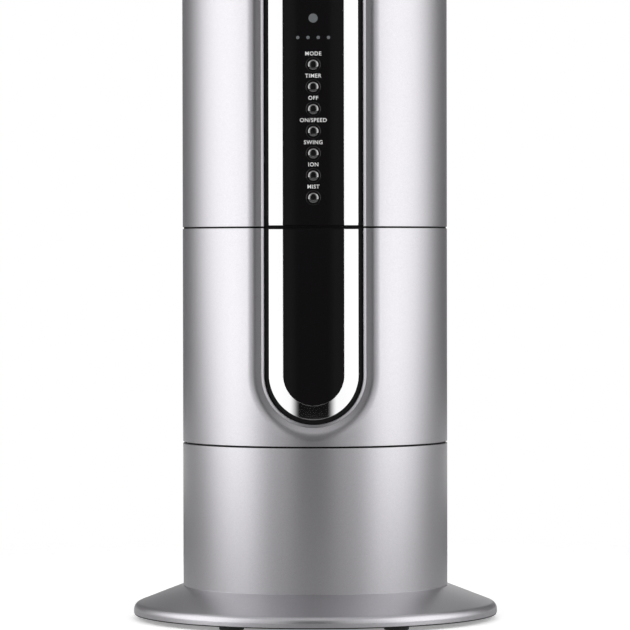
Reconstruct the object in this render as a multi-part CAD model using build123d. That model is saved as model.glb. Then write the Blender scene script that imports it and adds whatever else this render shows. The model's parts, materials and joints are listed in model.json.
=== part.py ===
"""Round column tower fan with a mist tank, about 1.06 m tall, in millimetres.

+Z is up, the front faces -Y, and the origin is on the floor under the column's axis. A fixed foot and
drum carry the column, which swings on a hollow spindle. The column holds the mist section, with a water
tank that pulls out of the back, and above it the fan section, with a cross-flow impeller behind a narrow
outlet in the front strip.
"""

from build123d import *
import math
import os

# ---- Column and foot ----
column_radius = 120.0
shell_wall = 2.6
total_height = 1060.0
foot_radius = 165.0
foot_height = 30.0
foot_rim_height = 8.0
foot_rim_land = 1.0  # upright part left under the rim's rounding
foot_shoulder = 1.5  # how far the foot's dome stands out from the drum
foot_ledge = 9.0  # ring inside the drum's wall that it stands on
tray_thick = 3.0
tray_lip = 1.0  # rim of the tray that the foot's skirt rests on
tray_inset = 0.5
pad_height = 4.0
pad_radius = 11.0
pad_spigot = 7.0
pad_pocket = 1.5
pad_count = 6
pad_inset = 20.0
pad_round = 1.0
ballast_thick = 6.0
ballast_bore = 24.0
ballast_clear = 2.0  # from the posts
drum_height = 130.0
tank_section_height = 194.0
cap_height = 26.0
cap_round = 15.0
seam_gap = 1.6  # swing seam and tank seam
cap_gap = 0.6
seam_bevel = 0.6
split_y = 30.0  # where the front shells meet the rear shells
split_gap = 0.4
fit_gap = 0.3  # between pieces that drop into each other
cut = 1.0  # how far a cutting tool runs past what it cuts

# ---- Strip down the front: cove, lip, chrome trim and black panel ----
panel_half = 26.8
trim_width = 12.6
trim_gap = 4.5
lip_width = 2.6
cove_width = 8.2
recess_depth = 4.3
cove_step = 0.3
cove_blend = 18.0
strip_low_offset = 63.7  # from the swing seam up to the centre of the strip's lower end
strip_top_margin = 14.0  # plain surface between the cove and the cap
trim_sink = 0.8  # chrome face below the column's surface
trim_round = 0.9
trim_end_gap = 0.9  # extra gap of trim and panels at the tank seam
panel_sink = 1.7
panel_gap = 0.2  # panel to trim
panel_round = 0.4
panel_plate = 2.5
panel_rib = 2.0
hole_reach = 8.0  # depth of a hole cut through a panel
carrier_plate = 2.2
carrier_overlap = 6.0

# ---- Buttons ----
button_names = ["mist", "ion", "swing", "speed", "off", "timer", "mode"]  # from the lowest up
button_pitch = 19.5
first_button_height = 25.8  # above the tank seam
button_radius = 5.0
button_proud = 1.8
button_dome = 20.0  # radius of the domed face
button_edge = 2.4
button_play = 0.3
button_travel = 1.0
button_flange = 1.2
button_flange_thick = 1.0
stem_radius = 2.5
stem_play = 0.9
lens_play = 1.0
board_post = 2.5
board_post_x = 18.0
board_post_low = 4.0  # lowest posts, below the first button
board_post_high = 10.0  # other posts, above their buttons
board_below = 12.0
board_above = 46.0
board_setback = 5.6  # board behind the carrier
board_thick = 1.6
board_half = 22.0
switch_height = 3.6
switch_half = 3.0
plunger_radius = 1.7
plunger_height = 0.6
bezel_width = 1.3
bezel_proud = 0.25
bezel_round = 0.5
panel_head = 60.0  # panel above the top button
indicator_count = 4
indicator_radius = 1.5
indicator_pitch = 9.0
indicator_rise = 24.0  # above the top button
receiver_rise = 17.0  # above the indicators
lens_depth = 5.0
receiver_radius = 4.0

# ---- Air path ----
impeller_radius = 50.0
impeller_y = 14.0
blade_count = 26
blade_chord = 10.0
blade_inset = 0.5
blade_sweep = 6.0  # degrees
ring_overlap = 1.0
blade_thick = 1.2
impeller_ring = 2.0
ring_spacing = 90.0
slat_pitch = 9.0
slat_thick = 1.8
grille_side = 2.2
grille_end = 5.0
scroll_wall = 2.0
scroll_growth = ((0.0, 130.0), (2.5, 150.0), (7.0, 180.0), (15.0, 213.0))  # extra radius, angle in degrees
throat_side = 6.0
throat_depth = 44.0
tongue_reach = 31.0
tongue_rise = 14.0
tongue_round = 8.0
end_margin = 11.0  # end plates outside the impeller
mouth_margin = 4.0
hub_play = 3.0
ion_setback = 24.0  # ioniser behind the carrier
ion_width = 12.0
ion_height = 32.0
scroll_gap = 5.0
scroll_plate_gap = 10.0
shaft_radius = 4.0
motor_radius = 42.0
motor_height = 76.0
motor_wall = 2.0
motor_stand = 22.0
stand_wall = 10.0
stand_margin = 4.0  # stand outside the motor
motor_end = 4.0
rotor_radius = 26.0
air_gap = 0.6
stator_height = 44.0
pivot_radius = 3.0
pivot_length = 6.0
hub_radius = 9.0
hub_depth = 16.0
shaft_grip = 14.0
shaft_tail = 6.0  # shaft below the motor
impeller_margin = 6.0
running_gap = 0.05
intake_half = 88.0
intake_pitch = 9.0
intake_side = 9.0
intake_end = 10.0
intake_slot = 5.6
intake_rib = 4.0
intake_columns = 4
filter_depth = 2.0
filter_gap = 0.4
filter_inset = 5.0

# ---- Mist path ----
tank_half = 76.0
tank_wall = 2.5
tank_clear = 2.0
tank_lift = 1.5  # tank above the bay's floor
tank_front_y = -26.0
tank_corner = 8.0
tank_headroom = 32.0
bay_wall = 2.5
bay_clear = 4.0  # bay and sump corners off the shells
leg_inset = 22.0  # floor's legs in from the shells' inside
leg_radius = 4.0
runner_half = 3.0
spout_clear = 1.5
tank_back_reach = 1.0
bay_headroom = 12.0
bay_runner = 1.2
bay_back_gap = 2.0
cover_half = 84.0
cover_margin = 6.0
cover_ribs = 4
cover_rib_pitch = 40.0
cover_rib_half = 1.2
cover_rib_low = 8.0  # above the tub's bottom
cover_rib_high = 44.0  # below the tub's rim, under the finger cup
window_corner = 10.0
grip_half = 42.0
grip_height = 26.0
grip_depth = 22.0
grip_corner = 7.0
grip_below = 24.0  # under the cover's top edge
cup_wall = 2.0
spout_radius = 8.0
spout_bore = 5.0
spout_reach = 15.0
spout_height = 14.0
valve_gap = 0.2
valve_tip = 2.0  # stem's end past the spout
valve_rib = 0.8
valve_disc = 7.0
valve_disc_thick = 2.0
chamber_half = 70.0
chamber_wall = 2.5
chamber_gap = 5.0  # sump to bay
float_post_below = 12.0  # float's post below the sump's rim
spout_play = 0.5
lid_thick = 3.0
collar_wall = 2.5
collar_height = 10.0
bridge_half = 3.0  # bridge over the blower that holds its pin
bridge_thick = 2.0
float_post = 3.0
float_gap = 0.5
float_play = 0.8
float_round = 1.0
float_radius = 11.0
float_height = 16.0
transducer_radius = 10.0
transducer_thick = 2.0
blower_radius = 26.0
blower_height = 20.0
blower_wheel_radius = 21.0
wheel_lift = 3.0
wheel_plate = 1.5
wheel_rim = 2.0
vane_start = 0.62  # vanes' inner end, as a share of the wheel's radius
vane_inset = 0.5
vane_thick = 1.2
pin_length = 4.0
blower_blades = 16
blower_port = 10.0
blower_pin = 1.5
blower_hub = 5.0
blower_wall = 1.8
duct_radius = 11.0
duct_inset = 3.0
duct_wall = 2.0
duct_bend = 22.0
nozzle_ball = 18.0
nozzle_bore = 9.0
nozzle_round = 0.8
nozzle_centre_depth = 10.0  # ball centre below the column's surface
nozzle_front = 1.2  # cut face of the ball in front of the column's surface
socket_wall = 3.0
nozzle_back = 10.8  # cut face of the ball behind its centre
nozzle_gap = 0.8  # from the ball to the duct's end
socket_overlap = 4.0  # how far the duct's end goes into the socket

# ---- Swing drive ----
deck_thick = 4.0
deck_boss_depth = 16.0
deck_boss_wall = 8.0
deck_boss_lift = 2.0
deck_rim_wall = 2.0  # rim that closes the swing seam from inside
deck_rim_gap = 0.5
deck_shaft_play = 2.0
mechanism_height = 16.0  # from the deck's top to the underside of the column's floor
floor_plate = 3.0
floor_lift = 0.2  # column floor above the shells' lower edge
spindle_radius = 12.0
spindle_bore = 8.0
spindle_tail = 7.0  # spindle below the deck's boss
clip_width = 6.0
clip_thick = 3.0
clip_gap = 1.0
hub_wall = 6.0
hub_height = 13.0
hub_clear = 1.0  # mist section's floor above the hub
glide_inset = 7.0
glide_gap = 0.3
gear_module = 2.0
gear_teeth = 60
pinion_teeth = 12
gear_backlash = 0.35
gear_thick = 9.0
pressure_angle = 20.0
flank_steps = 5
dedendum = 1.25  # in modules
gear_web = 22.0
pinion_lift = 0.5  # pinion below the ring gear's lower face
pinion_top_gap = 1.0
pinion_shaft_depth = 7.0
swing_motor_radius = 24.0
swing_motor_height = 20.0
swing_motor_round = 2.0
motor_socket_end = 1.0  # bore past the pinion's shaft
motor_ear_length = 8.0
motor_ear_half = 5.0
motor_ear_thick = 2.0
glide_width = 6.0
post_radius = 7.0
post_inset = 28.0
post_count = 4
supply_half = 42.0
supply_depth = 60.0
supply_y = 38.0
supply_leg = 6.0
supply_leg_radius = 2.5
supply_leg_inset = 4.0
transformer_height = 28.4
transformer_width = 34.0
transformer_margin = 12.0  # from the board's edges
supply_columns = (16.0, 32.0)  # x of capacitors and chokes
capacitor_row = 8.0  # in front of the board's middle
choke_row = 16.0  # behind the board's middle
capacitor_radius = 7.0
capacitor_height = 24.4
choke_radius = 3.0
choke_height = 10.4
screw_radius = 1.7
screw_head_radius = 3.4
screw_head_height = 2.4
head_round = 0.8
slot_margin = 1.2
slot_width = 0.9
slot_floor = 1.2
screw_grip = 12.0

# ---- Handle, gland, rails ----
handle_half = 50.0
handle_height = 38.0
handle_depth = 30.0
handle_below_cap = 29.0
handle_corner = 8.0
gland_radius = 9.0
gland_bore = 3.7
gland_flange = 12.0
gland_flange_thick = 3.0
gland_height = 22.0
gland_depth = 6.0  # gland inside the drum's wall
bore_reach = 10.0  # length of the bore's cutter each way
gland_shoulder = 2.0
shoulder_back = 5.0
shoulder_front = 1.5
gland_round = 1.2
rail_width = 10.0
rail_depth = 18.0
rail_top_gap = 2.0
rail_inset = 13.0
well_radius = 4.2
well_wall = 1.6
well_floor = 2.0
well_margin = 22.0
well_shift = 1.0  # wells off the rails' middles
screw_play = 0.1
cap_skirt = 8.0
cap_skirt_wall = 2.0
divider_thick = 3.5
spigot_depth = 5.5  # ring under the divider that closes the tank seam from inside
spigot_wall = 2.0
seam_filler_inset = 1.0  # black filler in the tank seam, below the surface

# ---- Heights and radii that follow ----
drum_top_z = foot_height + drum_height
swing_seam_z = drum_top_z
tank_seam_z = swing_seam_z + tank_section_height
cap_seam_z = total_height - cap_height
inner_radius = column_radius - shell_wall
trim_half = panel_half + trim_width
slot_half = trim_half + trim_gap
lip_half = slot_half + lip_width
cove_half = lip_half + cove_width
backing_half = cove_half + cut
backing_radius = column_radius - recess_depth - shell_wall
carrier_radius = backing_radius
strip_low_z = swing_seam_z + strip_low_offset
strip_high_z = cap_seam_z - strip_top_margin - cove_half
trim_face = column_radius - trim_sink
panel_face = column_radius - panel_sink

tank_low_z = swing_seam_z + seam_gap / 2
tank_high_z = tank_seam_z - seam_gap / 2
fan_low_z = tank_seam_z + seam_gap / 2
fan_high_z = cap_seam_z - cap_gap / 2
column_floor_z = tank_low_z + floor_lift
deck_top_z = column_floor_z - mechanism_height
button_z = [tank_seam_z + first_button_height + n * button_pitch for n in range(len(button_names))]
panel_top_z = button_z[-1] + panel_head
nozzle_plate_z = strip_high_z - panel_half - cove_step
grille_low_z = panel_top_z + fit_gap
grille_high_z = nozzle_plate_z - fit_gap
carrier_back = carrier_radius - carrier_plate
board_y = -(carrier_back - board_setback)
plunger_y = board_y - switch_height - plunger_height

divider_top_z = fan_low_z + divider_thick
motor_low_z = divider_top_z + motor_stand
motor_high_z = motor_low_z + motor_height
impeller_low_z = grille_low_z + impeller_margin
impeller_high_z = grille_high_z - impeller_margin
scroll_low_z = impeller_low_z - scroll_plate_gap
scroll_high_z = impeller_high_z + scroll_plate_gap
intake_low_z = scroll_low_z
intake_high_z = scroll_high_z

bay_half = tank_half + tank_clear + bay_wall
hub_top_z = column_floor_z + hub_height
bay_floor_z = hub_top_z + hub_clear
tank_bottom_z = bay_floor_z + bay_wall + tank_lift
tank_top_z = tank_high_z - tank_headroom
bay_top_z = tank_high_z - bay_headroom
bay_front_y = tank_front_y - tank_clear - bay_wall
tank_back_y = math.sqrt((inner_radius - bay_clear) ** 2 - bay_half**2) + tank_back_reach
chamber_back_y = bay_front_y - chamber_gap
chamber_front_y = -math.sqrt((inner_radius - bay_clear) ** 2 - chamber_half**2)
chamber_low_z = bay_floor_z + bay_wall
chamber_high_z = tank_top_z
chamber_y = (chamber_front_y + chamber_back_y) / 2
duct_x = chamber_half - duct_radius - duct_inset
duct_y = chamber_y
blower_x = -duct_x + blower_radius - duct_radius
spout_z = tank_bottom_z + spout_height
lid_top_z = chamber_high_z + lid_thick
nozzle_y = -(column_radius - nozzle_centre_depth)
duct_end_y = nozzle_y + nozzle_ball + nozzle_gap
pinion_y = -gear_module * (gear_teeth + pinion_teeth) / 2
deck_low_z = deck_top_z - deck_thick
boss_low_z = deck_top_z - deck_boss_depth
tray_top_z = pad_height + tray_thick
gland_z = foot_height + gland_height
rail_back_y = split_y + rail_depth / 2

os.makedirs("parts", exist_ok=True)


# ---- Plain forms ----
def disc(radius, low, high, x=0.0, y=0.0):
    """Upright solid cylinder between two heights."""
    return Pos(x, y, (low + high) / 2) * Cylinder(radius, high - low)


def tube(outer, inner, low, high, x=0.0, y=0.0):
    """Upright ring between two heights."""
    return disc(outer, low, high, x, y) - disc(inner, low - cut, high + cut, x, y)


def block(x_low, x_high, y_low, y_high, z_low, z_high):
    """Box between two corners."""
    size = (x_high - x_low, y_high - y_low, z_high - z_low)
    return Pos((x_low + x_high) / 2, (y_low + y_high) / 2, (z_low + z_high) / 2) * Box(*size)


def rod_y(radius, front, back, x=0.0, z=0.0):
    """Solid cylinder along Y between two depths, where front is the lower one."""
    return Pos(x, (front + back) / 2, z) * Rot(90, 0, 0) * Cylinder(radius, back - front)


def stadium(half, low=strip_low_z, high=strip_high_z):
    """Slot-shaped prism through the column's front half, round about the strip's two end centres."""
    outline = Plane.XZ * Pos(0, (low + high) / 2) * SlotCenterToCenter(high - low, 2 * half, rotation=90)
    return extrude(outline, amount=column_radius + 4 * cut)


def front_band(outer, inner, low, high):
    """Front half of an upright ring."""
    ring = tube(outer, inner, low, high)
    return ring & block(-outer, outer, -outer - cut, 0, low, high)


def strip_plate(half, outer, inner, low, high):
    """Plate that follows the column's curve, of a half width, rounded at the strip's ends."""
    return front_band(outer, inner, low, high) & stadium(half)


def hollow(low, high, front_gap=0.0, inset=0.0):
    """Space inside the shells, with a gap behind the strip, and smaller all round by an inset."""
    pocket = stadium(backing_half + inset) - disc(backing_radius - front_gap - inset, low - cut, high + cut)
    return disc(inner_radius - inset, low, high) - pocket


def bevel_ring(z, size, upward):
    """Ring that cuts a bevel round the column's outer edge at a height."""
    low, high = (z - size, z) if upward else (z, z + size)
    radii = (column_radius, column_radius - size) if upward else (column_radius - size, column_radius)
    cone = Pos(0, 0, (low + high) / 2) * Cone(radii[0], radii[1], size)
    return disc(column_radius + cut, low, high) - cone


def polar(radius, count, start=0.0):
    """Evenly spaced points on a circle about the column's axis."""
    turn = 2 * math.pi / count
    angles = [math.radians(start) + n * turn for n in range(count)]
    return [(radius * math.cos(a), radius * math.sin(a)) for a in angles]


def open_cup(box_of):
    """Cup with a thin wall inside a rounded box, cut flush with the column's surface and open at the back."""
    outside = box_of(0) & disc(column_radius, 0, total_height)
    return outside - box_of(-cup_wall)


def curved_face(shape, radius):
    """First cylindrical face of a radius."""
    round_faces = shape.faces().filter_by(GeomType.CYLINDER)
    return [face for face in round_faces if abs(face.radius - radius) < cut / 10][0]


def save(node, shape):
    """Writes one node's STEP file."""
    export_step(shape, f"parts/{node}.step")


# ---- Foot and drum ----
posts = polar(column_radius - post_inset, post_count, 45.0)
pads = polar(foot_radius - pad_inset, pad_count)


def foot_cover():
    """Low domed skirt with a ledge on top that the drum stands on."""
    shoulder = column_radius + foot_shoulder
    ledge_inner = column_radius - foot_ledge
    skirt = foot_radius - shell_wall
    low = pad_height + tray_lip
    outline = Polyline(
        (foot_radius, low),
        (foot_radius, low + foot_rim_height),
        (shoulder, foot_height),
        (ledge_inner, foot_height),
        (ledge_inner, foot_height - shell_wall),
        (shoulder - foot_shoulder, foot_height - shell_wall),
        (skirt, low + foot_rim_height - shell_wall),
        (skirt, low),
        close=True,
    )
    section = make_face(outline)
    rim = section.vertices().sort_by(Axis.X)[-2:].sort_by(Axis.Y)[-1]
    section = fillet(rim, foot_rim_height - foot_rim_land)
    return revolve(Plane.XZ * section, Axis.Z)


def base_plate():
    """Bottom tray with the posts that carry the deck, and pockets for the pads."""
    tray = disc(foot_radius - tray_inset, pad_height, pad_height + tray_lip)
    tray += disc(foot_radius - shell_wall - fit_gap, pad_height, tray_top_z)
    for x, y in posts:
        tray += disc(post_radius, tray_top_z, deck_low_z, x, y)
    for x, y in pads:
        tray -= disc(pad_spigot, pad_height - cut, pad_height + pad_pocket, x, y)
    return tray


def rubber_pads():
    """Pads, each with a spigot in its pocket."""
    feet = []
    for x, y in pads:
        pad = disc(pad_radius, 0, pad_height, x, y)
        pad += disc(pad_spigot, pad_height, pad_height + pad_pocket, x, y)
        feet.append(fillet(pad.edges().group_by(Axis.Z)[0], pad_round))
    return Compound(children=feet)


def ballast_plate():
    """Steel ring that keeps the column upright."""
    outer = column_radius - post_inset - post_radius - ballast_clear
    return tube(outer, ballast_bore, tray_top_z, tray_top_z + ballast_thick)


def gland_shape():
    """Outside form of the cord gland, along +Y at the drum's back."""
    front, back = column_radius - shell_wall / 2, column_radius + gland_flange_thick
    flange = rod_y(gland_flange, front, back, 0, gland_z)
    return flange + rod_y(gland_radius, inner_radius - gland_depth, column_radius, 0, gland_z)


def cord_gland():
    """Round bush for the mains lead, with a flange outside and a shoulder inside the drum's wall."""
    back, front = inner_radius - shoulder_back, inner_radius - shoulder_front
    body = gland_shape() + rod_y(gland_radius + gland_shoulder, back, front, 0, gland_z)
    outer_edge = body.edges().filter_by(GeomType.CIRCLE).sort_by(Axis.Y)[-1]
    body = fillet(outer_edge, gland_round)
    return body - rod_y(gland_bore, inner_radius - bore_reach, column_radius + bore_reach, 0, gland_z)


def base_drum():
    """Plain silver drum that the column turns on."""
    top = drum_top_z - seam_gap / 2
    drum = tube(column_radius, inner_radius, foot_height, top)
    return drum - bevel_ring(top, seam_bevel, True) - gland_shape()


def turntable_deck():
    """Deck on the posts, with the boss that the spindle turns in and a hole for the pinion's shaft."""
    deck = disc(inner_radius, deck_low_z, deck_top_z)
    deck += disc(spindle_radius + deck_boss_wall, boss_low_z, deck_top_z + deck_boss_lift)
    deck -= disc(spindle_radius + running_gap, boss_low_z - cut, deck_top_z + deck_boss_lift + cut)
    rim_outer = inner_radius - fit_gap
    deck += tube(rim_outer, rim_outer - deck_rim_wall, deck_top_z, column_floor_z - deck_rim_gap)
    return deck - disc(shaft_radius + deck_shaft_play, deck_low_z - cut, deck_top_z + cut, 0, pinion_y)


def glide_ring():
    """Low-friction ring that steadies the column's rim."""
    outer = column_radius - glide_inset
    return tube(outer, outer - glide_width, deck_top_z, column_floor_z - glide_gap)


def swing_motor():
    """Geared synchronous motor under the deck, with its two ears."""
    can = disc(swing_motor_radius, deck_low_z - swing_motor_height, deck_low_z, 0, pinion_y)
    can = fillet(can.edges().group_by(Axis.Z)[0], swing_motor_round)
    reach = swing_motor_radius + motor_ear_length
    ear_y = (pinion_y - motor_ear_half, pinion_y + motor_ear_half)
    can += block(-reach, reach, *ear_y, deck_low_z - motor_ear_thick, deck_low_z)
    socket_low = deck_low_z - pinion_shaft_depth - motor_socket_end
    return can - disc(shaft_radius, socket_low, deck_low_z + cut, 0, pinion_y)


def power_board():
    """Supply board on four short legs, with a transformer and two capacitors beside two chokes."""
    low = tray_top_z + ballast_thick
    board_z = low + supply_leg
    top_z = board_z + board_thick
    y_low, y_high = supply_y - supply_depth / 2, supply_y + supply_depth / 2
    board = block(-supply_half, supply_half, y_low, y_high, board_z, top_z)
    left = transformer_margin - supply_half
    front, back = y_low + transformer_margin, y_high - transformer_margin
    board += block(left, left + transformer_width, front, back, top_z, top_z + transformer_height)
    for x in supply_columns:
        board += disc(capacitor_radius, top_z, top_z + capacitor_height, x, supply_y - capacitor_row)
        board += disc(choke_radius, top_z, top_z + choke_height, x, supply_y + choke_row)
    for x in (-supply_half + supply_leg_inset, supply_half - supply_leg_inset):
        for y in (y_low + supply_leg_inset, y_high - supply_leg_inset):
            board += disc(supply_leg_radius, low, board_z, x, y)
    return board


# ---- Swing gears ----
def gear_outline(teeth, turn):
    """Outline of an involute gear about the origin, with its first tooth at an angle in degrees."""
    pitch = gear_module * teeth / 2
    base = pitch * math.cos(math.radians(pressure_angle))
    tip = pitch + gear_module
    root = pitch - dedendum * gear_module
    half_tooth = (math.pi * gear_module / 2 - gear_backlash) / 2 / pitch
    involute_at_pitch = math.tan(math.radians(pressure_angle)) - math.radians(pressure_angle)
    flank = []
    for n in range(flank_steps + 1):
        radius = max(base, root) + (tip - max(base, root)) * n / flank_steps
        pressure = math.acos(min(1.0, base / radius))
        flank.append((radius, half_tooth + involute_at_pitch - (math.tan(pressure) - pressure)))
    points = []
    if root < base:
        flank.insert(0, (root, flank[0][1]))
    for n in range(teeth):
        middle = math.radians(turn) + 2 * math.pi * n / teeth
        points += [(r * math.cos(middle - a), r * math.sin(middle - a)) for r, a in flank]
        points += [(r * math.cos(middle + a), r * math.sin(middle + a)) for r, a in reversed(flank)]
    return Polyline(*points, close=True)


def gear(teeth, turn, low, high):
    """Spur gear about the origin."""
    return Pos(0, 0, low) * extrude(make_face(gear_outline(teeth, turn)), amount=high - low)


def swing_gear():
    """Ring gear under the column's floor, with a tooth pointing at the pinion."""
    ring = gear(gear_teeth, -90.0, column_floor_z - gear_thick, column_floor_z)
    return ring - disc(gear_module * gear_teeth / 2 - gear_web, 0, total_height)


def swing_pinion():
    """Pinion and its shaft, with a gap between teeth at the ring gear's tooth."""
    half_space = 180.0 / pinion_teeth
    low = column_floor_z - gear_thick - pinion_lift
    part = gear(pinion_teeth, 90.0 + half_space, low, column_floor_z - pinion_top_gap)
    part += disc(shaft_radius - running_gap, deck_low_z - pinion_shaft_depth, low + cut)
    return Pos(0, pinion_y, 0) * part


def column_floor():
    """Floor of the swinging column, with the hub that grips the spindle."""
    plate = hollow(column_floor_z, column_floor_z + floor_plate, carrier_plate)
    plate += disc(spindle_radius + hub_wall, column_floor_z, hub_top_z)
    return plate - disc(spindle_radius, column_floor_z - cut, hub_top_z + cut)


def swing_spindle():
    """Hollow spindle that the wires run through, with the ring that keeps it in the deck's boss."""
    low = boss_low_z - spindle_tail
    spindle = tube(spindle_radius, spindle_bore, low, hub_top_z)
    clip_high = boss_low_z - clip_gap
    clip = tube(spindle_radius + clip_width, spindle_radius, clip_high - clip_thick, clip_high)
    return Compound(children=[spindle, clip])


# ---- Column shells ----
def column_outside():
    """Solid outside form of the column, with the coved recess down its front."""
    column = disc(column_radius, swing_seam_z, cap_seam_z)
    recess = stadium(lip_half) - disc(column_radius - recess_depth, 0, total_height)
    body = column - recess

    def rim(solid):
        skin = curved_face(solid, column_radius)
        inside = [e for e in skin.edges() if swing_seam_z + cut < e.center().Z < cap_seam_z - cut]
        return skin, [e for e in inside if e.center().Y < -column_radius / 3]

    skin, edges = rim(body)
    body = chamfer(edges, length=cove_width, length2=recess_depth - cove_step, reference=skin)
    return fillet(rim(body)[1], cove_blend)


def column_shell(outside, low, high, front, bevel_low=True):
    """One silver shell of the column between two heights, the front or the rear part."""
    y_low, y_high = (-column_radius - cut, split_y - split_gap / 2)
    if not front:
        y_low, y_high = (split_y + split_gap / 2, column_radius + cut)
    shell = outside & block(-column_radius - cut, column_radius + cut, y_low, y_high, low, high)
    shell -= hollow(low - cut, high + cut)
    shell -= stadium(slot_half)
    shell -= bevel_ring(high, seam_bevel, True)
    if bevel_low:
        shell -= bevel_ring(low, seam_bevel, False)
    return shell


def back_window(half, low, high, corner):
    """Prism with rounded corners through the column's back."""
    outline = Plane.XZ * Pos(0, (low + high) / 2) * RectangleRounded(2 * half, high - low, corner)
    return extrude(outline, amount=-column_radius - cut)


def cover_window(gap):
    """Prism through the column's back for the tank's cover."""
    half = cover_half - gap
    low = tank_low_z + cover_margin + gap
    high = tank_high_z - cover_margin - gap
    corner = window_corner - gap
    return back_window(half, low, high, corner)


def tank_rear_shell(outside):
    """Back of the mist section, open for the tank."""
    return column_shell(outside, tank_low_z, tank_high_z, False) - cover_window(0)


def well_points():
    """Places of the screw wells in the fan section's rear shell."""
    x = column_radius - rail_inset - rail_width / 2 - well_shift
    low, high = fan_low_z + well_margin, fan_high_z - well_margin
    return [(side * x, z) for side in (-1, 1) for z in (low, (low + high) / 2, high)]


def intake_window(gap):
    """Prism through the column's back for the intake grille."""
    half = intake_half - gap
    low = intake_low_z + gap
    high = intake_high_z - gap
    return back_window(half, low, high, window_corner - gap)


def handle_box(gap):
    """Outside of the carry handle's cup, which opens at the column's back."""
    high = cap_seam_z - handle_below_cap + gap
    low = high - handle_height - 2 * gap
    half = handle_half + gap
    back = column_radius - handle_depth - gap
    box = block(-half, half, back, column_radius + 2 * cut, low, high)
    return fillet(box.edges().filter_by(Axis.Y), handle_corner + gap)


def fan_rear_shell(outside):
    """Back of the fan section, with its windows, its screw wells and the carry handle's cup."""
    shell = column_shell(outside, fan_low_z, fan_high_z, False)
    shell -= intake_window(0)
    shell -= handle_box(0)
    shell += open_cup(handle_box)
    skin = disc(column_radius - shell_wall / 2, 0, total_height)
    for x, z in well_points():
        shell += rod_y(well_radius + well_wall, rail_back_y, column_radius, x, z) & skin
        shell -= rod_y(well_radius, rail_back_y + well_floor, column_radius, x, z)
        shell -= rod_y(screw_radius + screw_play, rail_back_y - cut, column_radius, x, z)
    return shell


def top_cap():
    """Domed cap, with a skirt inside the shells."""
    low = cap_seam_z + cap_gap / 2
    cap = disc(column_radius, low, total_height)
    cap = fillet(cap.edges().group_by(Axis.Z)[-1], cap_round)
    inside = disc(inner_radius, low - cut, total_height - shell_wall)
    inside = fillet(inside.edges().group_by(Axis.Z)[-1], cap_round - shell_wall)
    cap -= inside
    cap -= bevel_ring(low, seam_bevel, False)
    skirt_low, skirt_high = fan_high_z - cap_skirt, low + cap_skirt_wall
    return cap + tube(inner_radius, inner_radius - cap_skirt_wall, skirt_low, skirt_high)


# ---- Strip pieces ----
def trim(low, high):
    """Chrome trim between two heights of the strip."""
    band = strip_plate(trim_half, trim_face, carrier_radius, low, high) - stadium(panel_half + panel_gap)
    faces = [f for f in band.faces().filter_by(GeomType.CYLINDER) if abs(f.radius - trim_face) < cut / 10]
    return fillet([edge for face in faces for edge in face.edges()], trim_round)


def strip_panel(low, high):
    """Black panel between two heights, with a rib round its back that rests on the carrier."""
    plate = strip_plate(panel_half, panel_face, panel_face - panel_plate, low, high)
    plate = fillet(curved_face(plate, panel_face).edges(), panel_round)
    rib = strip_plate(panel_half, panel_face - panel_plate, carrier_radius, low, high)
    inside = block(-column_radius, column_radius, -column_radius, 0, low + panel_rib, high - panel_rib)
    rib -= stadium(panel_half - panel_rib) & inside
    return plate + rib


def carrier(low, high):
    """Black back plate that closes the slot behind trim and panels."""
    return strip_plate(slot_half + carrier_overlap, carrier_radius, carrier_back, low, high)


def lower_panel():
    """Lower end of the black strip, in front of the tank."""
    return strip_panel(tank_low_z, tank_high_z - trim_end_gap)


def control_panel():
    """Black panel with the holes for buttons, indicators and receiver."""
    panel = strip_panel(fan_low_z + trim_end_gap, panel_top_z)
    depth = (-column_radius - cut, -panel_face + hole_reach)
    for z in button_z:
        panel -= rod_y(button_radius + button_play + bezel_width, *depth, 0, z)
    for x, z, radius in indicator_places():
        panel -= rod_y(radius, *depth, x, z)
    return panel


def indicator_places():
    """Centre and radius of each indicator lens, and of the receiver's lens above them."""
    row_z = button_z[-1] + indicator_rise
    span = (indicator_count - 1) * indicator_pitch
    lenses = [(n * indicator_pitch - span / 2, row_z, indicator_radius) for n in range(indicator_count)]
    return lenses + [(0.0, row_z + receiver_rise, receiver_radius)]


def indicator_lenses():
    """Light pipes of the indicators, and the receiver's window."""
    lenses = []
    for x, z, radius in indicator_places():
        pipe = rod_y(radius, -column_radius, -panel_face + lens_depth, x, z)
        lenses.append((pipe & disc(panel_face, 0, total_height)).solids()[0])
    return Compound(children=lenses)


def button_bezels():
    """Rings round the button holes."""
    rings = []
    for z in button_z:
        outer = button_radius + button_play + bezel_width
        front = -panel_face - bezel_proud
        ring = rod_y(outer, front, -panel_face + panel_plate, 0, z)
        ring = fillet(ring.edges().filter_by(GeomType.CIRCLE).sort_by(Axis.Y)[0], bezel_round)
        rings.append(ring - rod_y(button_radius + button_play, front - cut, 0, 0, z))
    return Compound(children=rings)


def button(z):
    """Push button: domed cap, flange behind the panel and stem towards its switch."""
    front = -panel_face - button_proud
    flange = -panel_face + panel_plate + fit_gap
    dome = Pos(0, front + button_dome, z) * Sphere(button_dome)
    cap = rod_y(button_radius, front - cut, flange, 0, z) & dome
    rim = [e for e in cap.edges().filter_by(GeomType.CIRCLE) if abs(e.radius - button_radius) < cut / 10]
    cap = fillet(min(rim, key=lambda e: e.center().Y), button_edge)
    cap += rod_y(button_radius + button_flange, flange, flange + button_flange_thick, 0, z)
    return cap + rod_y(stem_radius, flange, plunger_y - button_travel - fit_gap, 0, z)


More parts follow.
